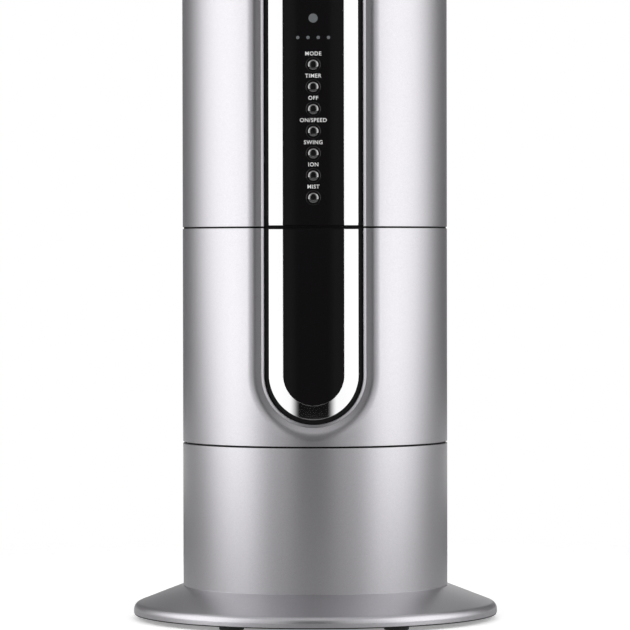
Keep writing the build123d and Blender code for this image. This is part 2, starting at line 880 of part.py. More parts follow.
def fan_carrier():
    """Carrier of the fan section, with its air window, stem holes, lens holes and board posts."""
    plate = carrier(fan_low_z + cut, fan_high_z)
    half = panel_half - grille_side
    plate -= block(-half, half, -column_radius, 0, grille_low_z + grille_end, grille_high_z - grille_end)
    for z in button_z:
        plate -= rod_y(stem_radius + stem_play, -column_radius, -carrier_back + carrier_plate, 0, z)
    for x, z, radius in indicator_places():
        plate -= rod_y(radius + lens_play, -column_radius, -carrier_back + carrier_plate, x, z)
    plate -= rod_y(nozzle_ball + socket_wall, -column_radius, 0, 0, strip_high_z)
    middle = len(button_z) // 2
    heights = [button_z[0] - board_post_low] + [button_z[n] + board_post_high for n in (middle, -1)]
    for x in (-board_post_x, board_post_x):
        for z in heights:
            plate += rod_y(board_post, -carrier_back + cut, board_y, x, z)
    return plate


def control_board():
    """Board behind the panel."""
    low, high = button_z[0] - board_below, button_z[-1] + board_above
    return block(-board_half, board_half, board_y, board_y + board_thick, low, high)


def tact_switches():
    """One small switch behind each button."""
    switches = []
    for z in button_z:
        half = switch_half
        case = block(-half, half, board_y - switch_height, board_y, z - half, z + half)
        switches.append(case + rod_y(plunger_radius, plunger_y, board_y - switch_height, 0, z))
    return Compound(children=switches)


def outlet_grille():
    """Black outlet grille: a curved frame with level slats."""
    outer = panel_face
    inner = carrier_radius
    frame = strip_plate(panel_half, outer, inner, grille_low_z, grille_high_z)
    half = panel_half - grille_side
    low, high = grille_low_z + grille_end, grille_high_z - grille_end
    count = int((high - low - slat_thick) // slat_pitch)
    gap = (high - low - count * slat_thick) / (count + 1)
    windows = []
    for n in range(count + 1):
        z = low + n * (gap + slat_thick)
        windows.append(block(-half, half, -outer - cut, 0, z, z + gap))
    return frame - windows


def nozzle_plate():
    """Rounded top end of the black strip, with the socket that holds the mist nozzle and the duct's end."""
    plate = strip_panel(nozzle_plate_z, strip_high_z + panel_half + cut)
    socket_front = -panel_face + panel_plate / 2
    plate += rod_y(nozzle_ball + socket_wall, socket_front, duct_end_y + socket_overlap, 0, strip_high_z)
    plate -= Pos(0, nozzle_y, strip_high_z) * Sphere(nozzle_ball + fit_gap)
    return plate - rod_y(duct_radius, nozzle_y, 0, 0, strip_high_z)


def mist_nozzle():
    """Ball nozzle that tips up and down."""
    reach = nozzle_ball + cut
    front = -column_radius - nozzle_front
    ball = Pos(0, nozzle_y, strip_high_z) * Sphere(nozzle_ball)
    ball &= block(-reach, reach, front, nozzle_y + nozzle_back, strip_high_z - reach, strip_high_z + reach)
    ball -= rod_y(nozzle_bore, front - cut, 0, 0, strip_high_z)
    mouth = [e for e in ball.edges().filter_by(GeomType.CIRCLE) if e.center().Y < front + nozzle_round / 2]
    return fillet(mouth, nozzle_round)


# ---- Mist section ----
def tank_chassis():
    """Inner frame of the mist section: floor on four legs, and the bay that the tank slides in."""
    low = bay_floor_z + bay_wall
    back = tank_back_y - bay_back_gap
    space_half = tank_half + tank_clear
    bay = block(-bay_half, bay_half, bay_front_y, back, low, bay_top_z)
    bay -= block(-space_half, space_half, bay_front_y + bay_wall, back + cut, low - cut, bay_top_z - bay_wall)
    frame = hollow(bay_floor_z, low, carrier_plate) + bay
    for x in (-tank_half + 2 * tank_corner, tank_half - 2 * tank_corner):
        frame += block(x - runner_half, x + runner_half, bay_front_y + bay_wall, back, low, low + bay_runner)
    for x, y in polar(inner_radius - leg_inset, post_count, 45):
        frame += disc(leg_radius, column_floor_z + floor_plate, bay_floor_z, x, y)
    wall_back = bay_front_y + bay_wall
    return frame - rod_y(spout_radius + spout_clear, bay_front_y - cut, wall_back + cut, 0, spout_z)


def water_tank():
    """Open water tub with a spout low in its front wall."""
    tub = block(-tank_half, tank_half, tank_front_y, tank_back_y, tank_bottom_z, tank_top_z)
    tub = fillet(tub.edges().filter_by(Axis.Z), tank_corner)
    half = tank_half - tank_wall
    depth = (tank_front_y + tank_wall, tank_back_y - tank_wall)
    inside = block(-half, half, *depth, tank_bottom_z + tank_wall, tank_top_z + cut)
    tub -= fillet(inside.edges().filter_by(Axis.Z), tank_corner - tank_wall)
    tub += rod_y(spout_radius, tank_front_y - spout_reach, tank_front_y, 0, spout_z)
    return tub - rod_y(spout_bore, tank_front_y - spout_reach - cut, depth[0] + cut, 0, spout_z)


def grip_box(gap):
    """Outside of the finger cup in the tank's cover."""
    high = tank_high_z - cover_margin - grip_below + gap
    half = grip_half + gap
    back = column_radius - grip_depth - gap
    box = block(-half, half, back, column_radius + 2 * cut, high - grip_height - 2 * gap, high)
    return fillet(box.edges().filter_by(Axis.Y), grip_corner + gap)


def tank_cover():
    """Silver back of the tank, flush with the column, with a finger cup and ribs to the tub."""
    ring = tube(column_radius, inner_radius, tank_low_z, tank_high_z)
    cover = (ring & cover_window(fit_gap)) - grip_box(0)
    cover += open_cup(grip_box)
    inside = disc(column_radius - shell_wall / 2, 0, total_height)
    low, high = tank_bottom_z + cover_rib_low, tank_top_z - cover_rib_high
    for n in range(cover_ribs):
        x = (n - (cover_ribs - 1) / 2) * cover_rib_pitch
        cover += block(x - cover_rib_half, x + cover_rib_half, tank_back_y, column_radius, low, high) & inside
    return cover


def tank_valve():
    """Sprung valve in the spout, with a cross-shaped stem."""
    back = tank_front_y + tank_wall + valve_gap
    front = tank_front_y - spout_reach - valve_tip
    reach = spout_bore - fit_gap
    stem = block(-reach, reach, front, back, spout_z - valve_rib, spout_z + valve_rib)
    stem += block(-valve_rib, valve_rib, front, back, spout_z - reach, spout_z + reach)
    return stem + rod_y(valve_disc, back, back + valve_disc_thick, 0, spout_z)


def mist_chamber():
    """Open sump that the tank fills, with the float's post and a hole for the spout."""
    wall = chamber_wall
    box = block(-chamber_half, chamber_half, chamber_front_y, chamber_back_y, chamber_low_z, chamber_high_z)
    half = chamber_half - wall
    depth = (chamber_front_y + wall, chamber_back_y - wall)
    box -= block(-half, half, *depth, chamber_low_z + wall, chamber_high_z + cut)
    box += disc(float_post, chamber_low_z + wall, chamber_high_z - float_post_below, 0, chamber_y)
    return box - rod_y(spout_radius + spout_play, depth[1] - cut, chamber_back_y + cut, 0, spout_z)


def chamber_lid():
    """Lid with a collar for the duct and the open case of the blower that lifts the mist."""
    low, high = chamber_high_z, lid_top_z
    lid = block(-chamber_half, chamber_half, chamber_front_y, chamber_back_y, low, high)
    lid += disc(duct_radius + collar_wall, high, high + collar_height, duct_x, duct_y)
    lid -= disc(duct_radius, low + lid_thick / 2, high + collar_height + cut, duct_x, duct_y)
    lid -= disc(duct_radius - duct_wall, low - cut, high, duct_x, duct_y)
    case_high = high + blower_height
    lid += tube(blower_radius, blower_radius - blower_wall, high, case_high, blower_x, chamber_y)
    x_low, x_high = blower_x - blower_radius + blower_wall / 2, blower_x + blower_radius - blower_wall / 2
    bridge_low = case_high - bridge_thick
    lid += block(x_low, x_high, chamber_y - bridge_half, chamber_y + bridge_half, bridge_low, case_high)
    lid += disc(blower_hub + bridge_half, bridge_low, case_high, blower_x, chamber_y)
    lid -= disc(blower_pin + running_gap, bridge_low - cut, case_high + cut, blower_x, chamber_y)
    return lid - disc(blower_port, low - cut, high + cut, blower_x, chamber_y)


def level_float():
    """Ring float on its post."""
    low = chamber_low_z + chamber_wall + float_gap
    ring = tube(float_radius, float_post + float_play, low, low + float_height, 0, chamber_y)
    return fillet(ring.edges().filter_by(GeomType.CIRCLE), float_round)


def mist_transducer():
    """Ultrasonic disc in the sump's floor, below the duct."""
    low = chamber_low_z + chamber_wall
    return disc(transducer_radius, low, low + transducer_thick, duct_x, duct_y)


def blower_wheel():
    """Small radial wheel with its pin."""
    low = lid_top_z + wheel_lift
    high = lid_top_z + blower_height - pin_length
    wheel = disc(blower_wheel_radius, high - wheel_plate, high)
    inner, outer = blower_wheel_radius * vane_start, blower_wheel_radius - vane_inset
    blade = block(inner, outer, -vane_thick / 2, vane_thick / 2, low, high)
    wheel += [Rot(0, 0, n * 360.0 / blower_blades) * blade for n in range(blower_blades)]
    wheel += tube(blower_wheel_radius, blower_wheel_radius - wheel_rim, low, low + wheel_plate)
    wheel += disc(blower_hub, low + wheel_lift, high)
    wheel += disc(blower_pin, high, high + pin_length)
    return Pos(blower_x, chamber_y, 0) * wheel


def mist_duct():
    """Pipe from the sump's lid up to the nozzle."""
    low = chamber_high_z + lid_thick / 2
    corners = [
        (duct_x, duct_y, low),
        (duct_x, duct_y, strip_high_z),
        (0, duct_y, strip_high_z),
        (0, duct_end_y, strip_high_z),
    ]
    path = FilletPolyline(*corners, radius=duct_bend)
    start = Plane(origin=corners[0], z_dir=(0, 0, 1))
    pipe = sweep(start * Circle(duct_radius), path=path)
    return pipe - sweep(start * Circle(duct_radius - duct_wall), path=path)


# ---- Fan section ----
def divider_plate():
    """Plate between the mist section and the fan section, with the motor's stand."""
    plate = hollow(fan_low_z, divider_top_z, carrier_plate)
    low = tank_high_z - spigot_depth
    spigot = hollow(low, fan_low_z, carrier_plate, fit_gap)
    plate += spigot - hollow(low - cut, fan_low_z, carrier_plate, fit_gap + spigot_wall)
    filler = tube(column_radius - seam_filler_inset, inner_radius - spigot_wall, tank_high_z, fan_low_z)
    plate += filler - stadium(backing_half)
    outer = motor_radius + stand_margin
    plate += tube(outer, outer - stand_wall, divider_top_z, motor_low_z, 0, impeller_y)
    return plate - disc(duct_radius, fan_low_z - cut, divider_top_z + cut, duct_x, duct_y)


def side_rails():
    """Two upright rails that the rear shell is screwed to."""
    x_out = column_radius - rail_inset
    y_low = split_y - rail_depth / 2
    rails = []
    for side in (-1, 1):
        xs = sorted((side * x_out, side * (x_out - rail_width)))
        rail = block(*xs, y_low, rail_back_y, divider_top_z, fan_high_z - rail_top_gap)
        for x, z in well_points():
            if x * side > 0:
                rail -= rod_y(screw_radius, y_low - cut, rail_back_y + cut, x, z)
        rails.append(rail)
    return Compound(children=rails)


def shell_screws():
    """Cross-head screws in the rear shell's wells."""
    screws = []
    seat = rail_back_y + well_floor
    slot = screw_head_radius - slot_margin
    for x, z in well_points():
        head = rod_y(screw_head_radius, seat, seat + screw_head_height, x, z)
        head = fillet(head.edges().filter_by(GeomType.CIRCLE).sort_by(Axis.Y)[-1], head_round)
        for half_x, half_z in ((slot, slot_width / 2), (slot_width / 2, slot)):
            head -= block(x - half_x, x + half_x, seat + slot_floor, column_radius, z - half_z, z + half_z)
        screws.append(head + rod_y(screw_radius, seat - screw_grip, seat, x, z))
    return Compound(children=screws)


def motor_case():
    """Fan motor's case, bored at both ends for the shaft."""
    case = disc(motor_radius, motor_low_z, motor_high_z, 0, impeller_y)
    case = fillet(case.edges().group_by(Axis.Z)[-1], motor_end)
    case -= disc(motor_radius - motor_wall, motor_low_z + motor_end, motor_high_z - motor_end, 0, impeller_y)
    return case - disc(shaft_radius + running_gap, motor_low_z - cut, motor_high_z + cut, 0, impeller_y)


def motor_stator():
    """Wound stator in the motor's case."""
    middle = (motor_low_z + motor_high_z) / 2
    low, high = middle - stator_height / 2, middle + stator_height / 2
    return tube(motor_radius - motor_wall, rotor_radius + air_gap, low, high, 0, impeller_y)


def fan_rotor():
    """Motor's rotor on its long shaft, which drives the impeller."""
    middle = (motor_low_z + motor_high_z) / 2
    rotor = disc(rotor_radius, middle - stator_height / 2, middle + stator_height / 2, 0, impeller_y)
    return rotor + disc(shaft_radius, motor_low_z - shaft_tail, impeller_low_z + shaft_grip, 0, impeller_y)


def impeller():
    """Cross-flow impeller: curved blades between rings, on a hub, with a pivot on top."""
    low, high = impeller_low_z, impeller_high_z
    outer = impeller_radius - blade_inset
    inner = outer - blade_chord
    middle = (outer + inner) / 2
    tilt = math.radians(blade_sweep)
    bow = (middle * math.cos(tilt), middle * math.sin(tilt))
    end = (outer * math.cos(tilt), outer * math.sin(tilt))
    blade = trace(ThreePointArc((inner, 0), bow, end), line_width=blade_thick)
    blades = Sketch() + [Rot(0, 0, n * 360.0 / blade_count) * blade for n in range(blade_count)]
    wheel = Pos(0, 0, low) * extrude(blades, high - low)
    rings = max(2, round((high - low) / ring_spacing))
    for n in range(1, rings):
        z = low + (high - low) * n / rings
        wheel += tube(impeller_radius, inner - ring_overlap, z - impeller_ring / 2, z + impeller_ring / 2)
    wheel += disc(impeller_radius, low, low + impeller_ring)
    wheel += disc(impeller_radius, high - impeller_ring, high)
    wheel += disc(hub_radius, low, low + hub_depth)
    wheel += disc(pivot_radius, high, scroll_high_z + pivot_length)
    wheel -= disc(shaft_radius, low - cut, low + shaft_grip)
    return Pos(0, impeller_y, 0) * wheel


def scroll_path(radius, angle):
    """Point at a polar place about the impeller's axis."""
    a = math.radians(angle)
    return (radius * math.cos(a), impeller_y + radius * math.sin(a))


def scroll_housing():
    """Air scroll: the spiral back wall, the tongue, and the two end plates."""
    front = -column_radius
    mouth = panel_half - grille_side + scroll_wall
    near = impeller_radius + scroll_gap
    tongue_y = impeller_y - near
    spiral = [scroll_path(near + growth, angle) for growth, angle in scroll_growth]
    wall = Spline(*spiral, (-mouth - throat_side, front + throat_depth), (-mouth, front))
    tongue_end = (mouth + tongue_reach, tongue_y + tongue_rise)
    tongue = FilletPolyline((mouth, front), (mouth, tongue_y), tongue_end, radius=tongue_round)
    outline = trace(wall, line_width=scroll_wall) + trace(tongue, line_width=scroll_wall)
    housing = Pos(0, 0, scroll_low_z) * extrude(outline, scroll_high_z - scroll_low_z)
    for low in (scroll_low_z - scroll_wall, scroll_high_z):
        housing += disc(near + end_margin, low, low + scroll_wall, 0, impeller_y)
        half = mouth + mouth_margin
        housing += block(-half, half, front, impeller_y, low, low + scroll_wall)
    low, high = scroll_low_z - 2 * scroll_wall, scroll_high_z + 2 * scroll_wall
    housing &= disc(carrier_back, low, high)
    housing -= disc(hub_radius + hub_play, low, scroll_low_z + cut, 0, impeller_y)
    return housing - disc(pivot_radius + running_gap, scroll_high_z - cut, high, 0, impeller_y)


def ion_module():
    """Ioniser block on the outlet's side wall."""
    wall_x = panel_half - grille_side + scroll_wall * 1.5
    y = -carrier_back + ion_setback
    low = (grille_low_z + grille_high_z - ion_height) / 2
    return block(wall_x, wall_x + ion_width, y - ion_width / 2, y + ion_width / 2, low, low + ion_height)


def intake_grille():
    """Removable intake grille with rows of level slots."""
    ring = tube(column_radius, inner_radius, intake_low_z, intake_high_z)
    panel = ring & intake_window(fit_gap)
    half = intake_half - intake_side
    width = (2 * half - (intake_columns - 1) * intake_rib) / intake_columns
    rows = int((intake_high_z - intake_low_z - 2 * intake_end) // intake_pitch)
    start = (intake_low_z + intake_high_z) / 2 - (rows - 1) * intake_pitch / 2
    slots = []
    for row in range(rows):
        z = start + row * intake_pitch
        for column in range(intake_columns):
            x = -half + column * (width + intake_rib)
            low, high = z - intake_slot / 2, z + intake_slot / 2
            slots.append(block(x, x + width, split_y, column_radius + cut, low, high))
    return panel - slots


def dust_filter():
    """Curved dust filter on the grille's inside."""
    outer = inner_radius - filter_gap
    ring = tube(outer, outer - filter_depth, intake_low_z + filter_inset, intake_high_z - filter_inset)
    half = intake_half - filter_inset
    return ring & block(-half, half, split_y, column_radius, 0, total_height)


nodes = {}
outside = column_outside()
nodes["foot_cover"] = foot_cover()
nodes["base_plate"] = base_plate()
nodes["rubber_pads"] = rubber_pads()
nodes["ballast_plate"] = ballast_plate()
nodes["base_drum"] = base_drum()
nodes["cord_gland"] = cord_gland()
nodes["turntable_deck"] = turntable_deck()
nodes["glide_ring"] = glide_ring()
nodes["swing_motor"] = swing_motor()
nodes["swing_pinion"] = swing_pinion()
nodes["power_board"] = power_board()

nodes["column_floor"] = column_floor()
nodes["swing_gear"] = swing_gear()
nodes["swing_spindle"] = swing_spindle()
nodes["tank_front_shell"] = column_shell(outside, tank_low_z, tank_high_z, True)
nodes["tank_rear_shell"] = tank_rear_shell(outside)
nodes["fan_front_shell"] = column_shell(outside, fan_low_z, fan_high_z, True)
nodes["fan_rear_shell"] = fan_rear_shell(outside)
nodes["top_cap"] = top_cap()

nodes["lower_trim"] = trim(tank_low_z, tank_high_z - trim_end_gap)
nodes["upper_trim"] = trim(fan_low_z + trim_end_gap, cap_seam_z)
nodes["lower_panel"] = lower_panel()
nodes["control_panel"] = control_panel()
nodes["outlet_grille"] = outlet_grille()
nodes["nozzle_plate"] = nozzle_plate()
nodes["mist_nozzle"] = mist_nozzle()
nodes["tank_carrier"] = carrier(tank_low_z, tank_high_z)
nodes["fan_carrier"] = fan_carrier()
nodes["button_bezels"] = button_bezels()
nodes["indicator_lenses"] = indicator_lenses()
nodes["control_board"] = control_board()
nodes["tact_switches"] = tact_switches()
for name, z in zip(button_names, button_z):
    nodes[f"{name}_button"] = button(z)

nodes["tank_chassis"] = tank_chassis()
nodes["mist_chamber"] = mist_chamber()
nodes["chamber_lid"] = chamber_lid()
nodes["level_float"] = level_float()
nodes["mist_transducer"] = mist_transducer()
nodes["blower_wheel"] = blower_wheel()
nodes["mist_duct"] = mist_duct()
nodes["water_tank"] = water_tank()
nodes["tank_cover"] = tank_cover()
nodes["tank_valve"] = tank_valve()

nodes["divider_plate"] = divider_plate()
nodes["side_rails"] = side_rails()
nodes["shell_screws"] = shell_screws()
nodes["fan_motor"] = motor_case()
nodes["motor_stator"] = motor_stator()
nodes["fan_rotor"] = fan_rotor()
nodes["impeller"] = impeller()
nodes["scroll_housing"] = scroll_housing()
nodes["ion_module"] = ion_module()
nodes["intake_grille"] = intake_grille()
nodes["dust_filter"] = dust_filter()

for node, shape in nodes.items():
    save(node, shape)
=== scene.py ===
"""Looks of the round tower fan with a mist tank: its smooth outer pieces, legends, finishes and a plain studio.

The file is laid out as an add-on and run as a script. Every length is in metres, +Z is up and the front faces -Y.
"""

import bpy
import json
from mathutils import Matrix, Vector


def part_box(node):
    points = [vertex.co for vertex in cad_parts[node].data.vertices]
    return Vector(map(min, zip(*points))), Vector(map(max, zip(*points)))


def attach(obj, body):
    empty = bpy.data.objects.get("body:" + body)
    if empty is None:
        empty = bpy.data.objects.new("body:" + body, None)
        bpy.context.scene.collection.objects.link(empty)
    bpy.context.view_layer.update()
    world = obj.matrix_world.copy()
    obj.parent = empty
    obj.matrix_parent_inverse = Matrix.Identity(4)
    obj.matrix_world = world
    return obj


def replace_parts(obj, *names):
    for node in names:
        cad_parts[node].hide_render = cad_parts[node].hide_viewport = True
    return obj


bl_info = {
    "name": "Tower Fan Looks",
    "version": (1, 0, 0),
    "blender": (4, 5, 0),
    "location": "3D View > Sidebar > Tower Fan",
    "description": "Builds the outer pieces, legends, finishes and studio around the tower fan's frame",
    "category": "Object",
}

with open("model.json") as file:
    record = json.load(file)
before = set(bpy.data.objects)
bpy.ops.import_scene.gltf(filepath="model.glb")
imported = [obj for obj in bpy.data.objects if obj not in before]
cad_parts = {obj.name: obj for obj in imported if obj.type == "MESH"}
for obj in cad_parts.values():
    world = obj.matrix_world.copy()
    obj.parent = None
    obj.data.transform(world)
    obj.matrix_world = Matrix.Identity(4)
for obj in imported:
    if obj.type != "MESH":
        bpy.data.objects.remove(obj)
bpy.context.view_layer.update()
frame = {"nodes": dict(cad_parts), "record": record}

import json
import math

import bpy
from bpy.props import FloatProperty, FloatVectorProperty, IntProperty, PointerProperty
from mathutils import Matrix, Vector

MM = 0.001

# ---- Places that come from the frame ----
column_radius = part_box("base_drum")[1][0]
seam_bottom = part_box("tank_front_shell")[0][2]
seam_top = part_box("tank_front_shell")[1][2]
fan_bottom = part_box("fan_front_shell")[0][2]
fan_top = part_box("fan_front_shell")[1][2]
shell_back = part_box("tank_front_shell")[1][1]
trim_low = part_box("lower_trim")[0][2]
trim_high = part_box("upper_trim")[1][2]
trim_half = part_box("lower_trim")[1][0]
trim_face = -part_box("lower_trim")[0][1]
trim_seam_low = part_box("lower_trim")[1][2]
trim_seam_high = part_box("upper_trim")[0][2]
strip_low = trim_low + trim_half
strip_high = trim_high - trim_half
panel_face = -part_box("lower_panel")[0][1]


# ---- Sizes and colours that a user would change ----
class FanShellSizes(bpy.types.PropertyGroup):
    """Sizes of the silver shells and the recess down their front."""

    slot_half: FloatProperty(
        name="Slot Half Width", description="Half the width of the slot that the chrome trim stands in",
        default=43.9 * MM, unit="LENGTH")
    lip_width: FloatProperty(
        name="Lip Width", description="Level lip beside the slot", default=2.6 * MM, unit="LENGTH")
    cove_width: FloatProperty(
        name="Cove Width", description="Width of the slope from the lip to the surface",
        default=8.2 * MM, unit="LENGTH")
    cove_blend: FloatProperty(
        name="Cove Blend", description="Radius that blends the slope into the surface",
        default=18.0 * MM, unit="LENGTH")
    recess_depth: FloatProperty(
        name="Recess Depth", description="Depth of the lip below the surface", default=4.3 * MM, unit="LENGTH")
    lip_round: FloatProperty(
        name="Lip Rounding", description="Radius of the slot's edge", default=0.7 * MM, unit="LENGTH")
    wall: FloatProperty(name="Wall", description="Wall of the shells", default=2.0 * MM, unit="LENGTH")
    seam_round: FloatProperty(
        name="Seam Rounding", description="Rounding of the edges at the seams", default=0.6 * MM, unit="LENGTH")
    segments: IntProperty(name="Segments", description="Facets round the turned pieces", default=256, min=32)


class FanTrimSizes(bpy.types.PropertyGroup):
    """Sizes of the chrome trim and the legends."""

    inner_half: FloatProperty(
        name="Inner Half Width", description="Half the width of the opening for the black panel",
        default=27.0 * MM, unit="LENGTH")
    depth: FloatProperty(name="Depth", description="Depth of the trim", default=5.6 * MM, unit="LENGTH")
    edge_round: FloatProperty(
        name="Edge Rounding", description="Radius of the trim's edges", default=0.12 * MM, unit="LENGTH")
    letter_height: FloatProperty(
        name="Letter Height", description="Height of the legends' capitals", default=3.9 * MM, unit="LENGTH")
    letter_rise: FloatProperty(
        name="Letter Rise", description="From a button's centre up to its legend's centre",
        default=9.9 * MM, unit="LENGTH")


class FanColours(bpy.types.PropertyGroup):
    """Main colours of the finishes."""

    silver: FloatVectorProperty(
        name="Silver", description="Metallic paint of the column", subtype="COLOR", size=3,
        default=(0.400, 0.391, 0.411), min=0.0, max=1.0)
    chrome: FloatVectorProperty(
        name="Chrome", description="Plated trim", subtype="COLOR", size=3,
        default=(0.97, 0.97, 0.975), min=0.0, max=1.0)
    black: FloatVectorProperty(
        name="Black", description="Gloss black panel and buttons", subtype="COLOR", size=3,
        default=(0.0070, 0.0064, 0.0070), min=0.0, max=1.0)
    ink: FloatVectorProperty(
        name="Ink", description="Printed legends", subtype="COLOR", size=3,
        default=(0.80, 0.80, 0.80), min=0.0, max=1.0)


class FanStudio(bpy.types.PropertyGroup):
    """Camera and light."""

    camera_distance: FloatProperty(
        name="Camera Distance", description="From the column's axis", default=3.7, unit="LENGTH")
    camera_height: FloatProperty(
        name="Camera Height", description="Above the floor", default=0.3357, unit="LENGTH")
    camera_turn: FloatProperty(
        name="Camera Turn", description="Round the column from the front",
        default=math.radians(0.6), subtype="ANGLE")
    camera_dip: FloatProperty(
        name="Camera Dip", description="Below level", default=math.radians(0.943), subtype="ANGLE")
    camera_roll: FloatProperty(
        name="Camera Roll", description="About the line of sight", default=math.radians(-0.1), subtype="ANGLE")
    lens: FloatProperty(name="Lens", description="Focal length in millimetres", default=232.6)
    wall_radius: FloatProperty(
        name="Light Wall Radius", description="Round wall of soft light", default=1.6, unit="LENGTH")
    wall_height: FloatProperty(
        name="Light Wall Height", description="Top of the wall of light", default=2.0, unit="LENGTH")
    light: FloatProperty(name="Light", description="Strength of the wall of light", default=1.0, min=0.0)


# ---- Shader helpers ----
def socket(group, name, kind, out=False, default=None):
    """Adds one named input or output to a node group."""
    made = group.interface.new_socket(name=name, in_out="OUTPUT" if out else "INPUT", socket_type=kind)
    if default is not None:
        made.default_value = default
    return made


def add_node(tree, kind, **inputs):
    """Adds a node, with values for its named inputs."""
    made = tree.nodes.new(kind)
    for name, value in inputs.items():
        made.inputs[name.replace("_", " ")].default_value = value
    return made


def math_node(tree, operation, first, second=None):
    """Adds a Math node on sockets or numbers and gives its output."""
    made = tree.nodes.new("ShaderNodeMath")
    made.operation = operation
    for place, value in enumerate((first, second)):
        if value is None:
            continue
        if isinstance(value, (int, float)):
            made.inputs[place].default_value = value
        else:
            tree.links.new(value, made.inputs[place])
    return made.outputs[0]


def grain_group():
    """Fine grain: an uneven colour, roughness and height, as moulded or painted surfaces have."""
    group = bpy.data.node_groups.get("Fine Grain")
    if group:
        return group
    group = bpy.data.node_groups.new("Fine Grain", "ShaderNodeTree")
    socket(group, "Color", "NodeSocketColor", default=(0.5, 0.5, 0.5, 1.0))
    socket(group, "Scale", "NodeSocketFloat", default=900.0)
    socket(group, "Color Change", "NodeSocketFloat", default=0.05)
    socket(group, "Roughness", "NodeSocketFloat", default=0.4)
    socket(group, "Roughness Change", "NodeSocketFloat", default=0.05)
    socket(group, "Color", "NodeSocketColor", out=True)
    socket(group, "Roughness", "NodeSocketFloat", out=True)
    socket(group, "Height", "NodeSocketFloat", out=True)
    inside, outside = group.nodes.new("NodeGroupInput"), group.nodes.new("NodeGroupOutput")
    place = group.nodes.new("ShaderNodeTexCoord")
    fine = add_node(group, "ShaderNodeTexNoise", Detail=3.0, Roughness=0.6)
    broad = add_node(group, "ShaderNodeTexNoise", Scale=9.0, Detail=2.0)
    group.links.new(place.outputs["Object"], fine.inputs["Vector"])
    group.links.new(place.outputs["Object"], broad.inputs["Vector"])
    group.links.new(inside.outputs["Scale"], fine.inputs["Scale"])
    blend = math_node(group, "ADD", math_node(group, "MULTIPLY", fine.outputs["Fac"], 0.6),
                      math_node(group, "MULTIPLY", broad.outputs["Fac"], 0.4))
    centred = math_node(group, "SUBTRACT", blend, 0.5)
    value = math_node(group, "ADD", math_node(group, "MULTIPLY", centred, inside.outputs["Color Change"]), 1.0)
    tint = add_node(group, "ShaderNodeHueSaturation")
    group.links.new(value, tint.inputs["Value"])
    group.links.new(inside.outputs["Color"], tint.inputs["Color"])
    rough = math_node(group, "ADD", math_node(group, "MULTIPLY", centred, inside.outputs["Roughness Change"]),
                      inside.outputs["Roughness"])
    group.links.new(tint.outputs["Color"], outside.inputs["Color"])
    group.links.new(rough, outside.inputs["Roughness"])
    group.links.new(fine.outputs["Fac"], outside.inputs["Height"])
    return group


def flake_group():
    """Metallic paint: small flakes, each a little lighter or darker, over a slight orange peel."""
    group = bpy.data.node_groups.get("Metal Flake")
    if group:
        return group
    group = bpy.data.node_groups.new("Metal Flake", "ShaderNodeTree")
    socket(group, "Color", "NodeSocketColor", default=(0.5, 0.5, 0.5, 1.0))
    socket(group, "Flake Scale", "NodeSocketFloat", default=2600.0)
    socket(group, "Sparkle", "NodeSocketFloat", default=0.2)
    socket(group, "Color", "NodeSocketColor", out=True)
    socket(group, "Height", "NodeSocketFloat", out=True)
    inside, outside = group.nodes.new("NodeGroupInput"), group.nodes.new("NodeGroupOutput")
    place = group.nodes.new("ShaderNodeTexCoord")
    flakes = add_node(group, "ShaderNodeTexVoronoi")
    peel = add_node(group, "ShaderNodeTexNoise", Scale=420.0, Detail=1.0)
    group.links.new(place.outputs["Object"], flakes.inputs["Vector"])
    group.links.new(place.outputs["Object"], peel.inputs["Vector"])
    group.links.new(inside.outputs["Flake Scale"], flakes.inputs["Scale"])
    split = group.nodes.new("ShaderNodeSeparateColor")
    group.links.new(flakes.outputs["Color"], split.inputs["Color"])
    centred = math_node(group, "SUBTRACT", split.outputs["Red"], 0.5)
    value = math_node(group, "ADD", math_node(group, "MULTIPLY", centred, inside.outputs["Sparkle"]), 1.0)
    tint = add_node(group, "ShaderNodeHueSaturation")
    group.links.new(value, tint.inputs["Value"])
    group.links.new(inside.outputs["Color"], tint.inputs["Color"])
    height = math_node(group, "ADD", math_node(group, "MULTIPLY", split.outputs["Green"], 0.3),
                       math_node(group, "MULTIPLY", peel.outputs["Fac"], 0.7))
    group.links.new(tint.outputs["Color"], outside.inputs["Color"])
    group.links.new(height, outside.inputs["Height"])
    return group


def finish_of(name, colour, rough, scale=900.0, change=0.06, rough_change=0.06, bump=0.02, depth=0.05 * MM,
              **fixed):
    """Material whose colour, roughness and height come from the fine grain; fixed values go on the shader."""
    name += "_finish"
    made = bpy.data.materials.get(name)
    if made:
        return made
    made = bpy.data.materials.new(name)
    made.use_nodes = True
    tree = made.node_tree
    shader = tree.nodes["Principled BSDF"]
    grain = tree.nodes.new("ShaderNodeGroup")
    grain.node_tree = grain_group()
    grain.inputs["Color"].default_value = (*colour, 1.0)
    grain.inputs["Scale"].default_value = scale
    grain.inputs["Color Change"].default_value = change
    grain.inputs["Roughness"].default_value = rough
    grain.inputs["Roughness Change"].default_value = rough_change
    relief = add_node(tree, "ShaderNodeBump", Strength=bump, Distance=depth)
    tree.links.new(grain.outputs["Color"], shader.inputs["Base Color"])
    tree.links.new(grain.outputs["Roughness"], shader.inputs["Roughness"])
    tree.links.new(grain.outputs["Height"], relief.inputs["Height"])
    tree.links.new(relief.outputs["Normal"], shader.inputs["Normal"])
    for key, value in fixed.items():
        shader.inputs[key.replace("_", " ")].default_value = value
    return made


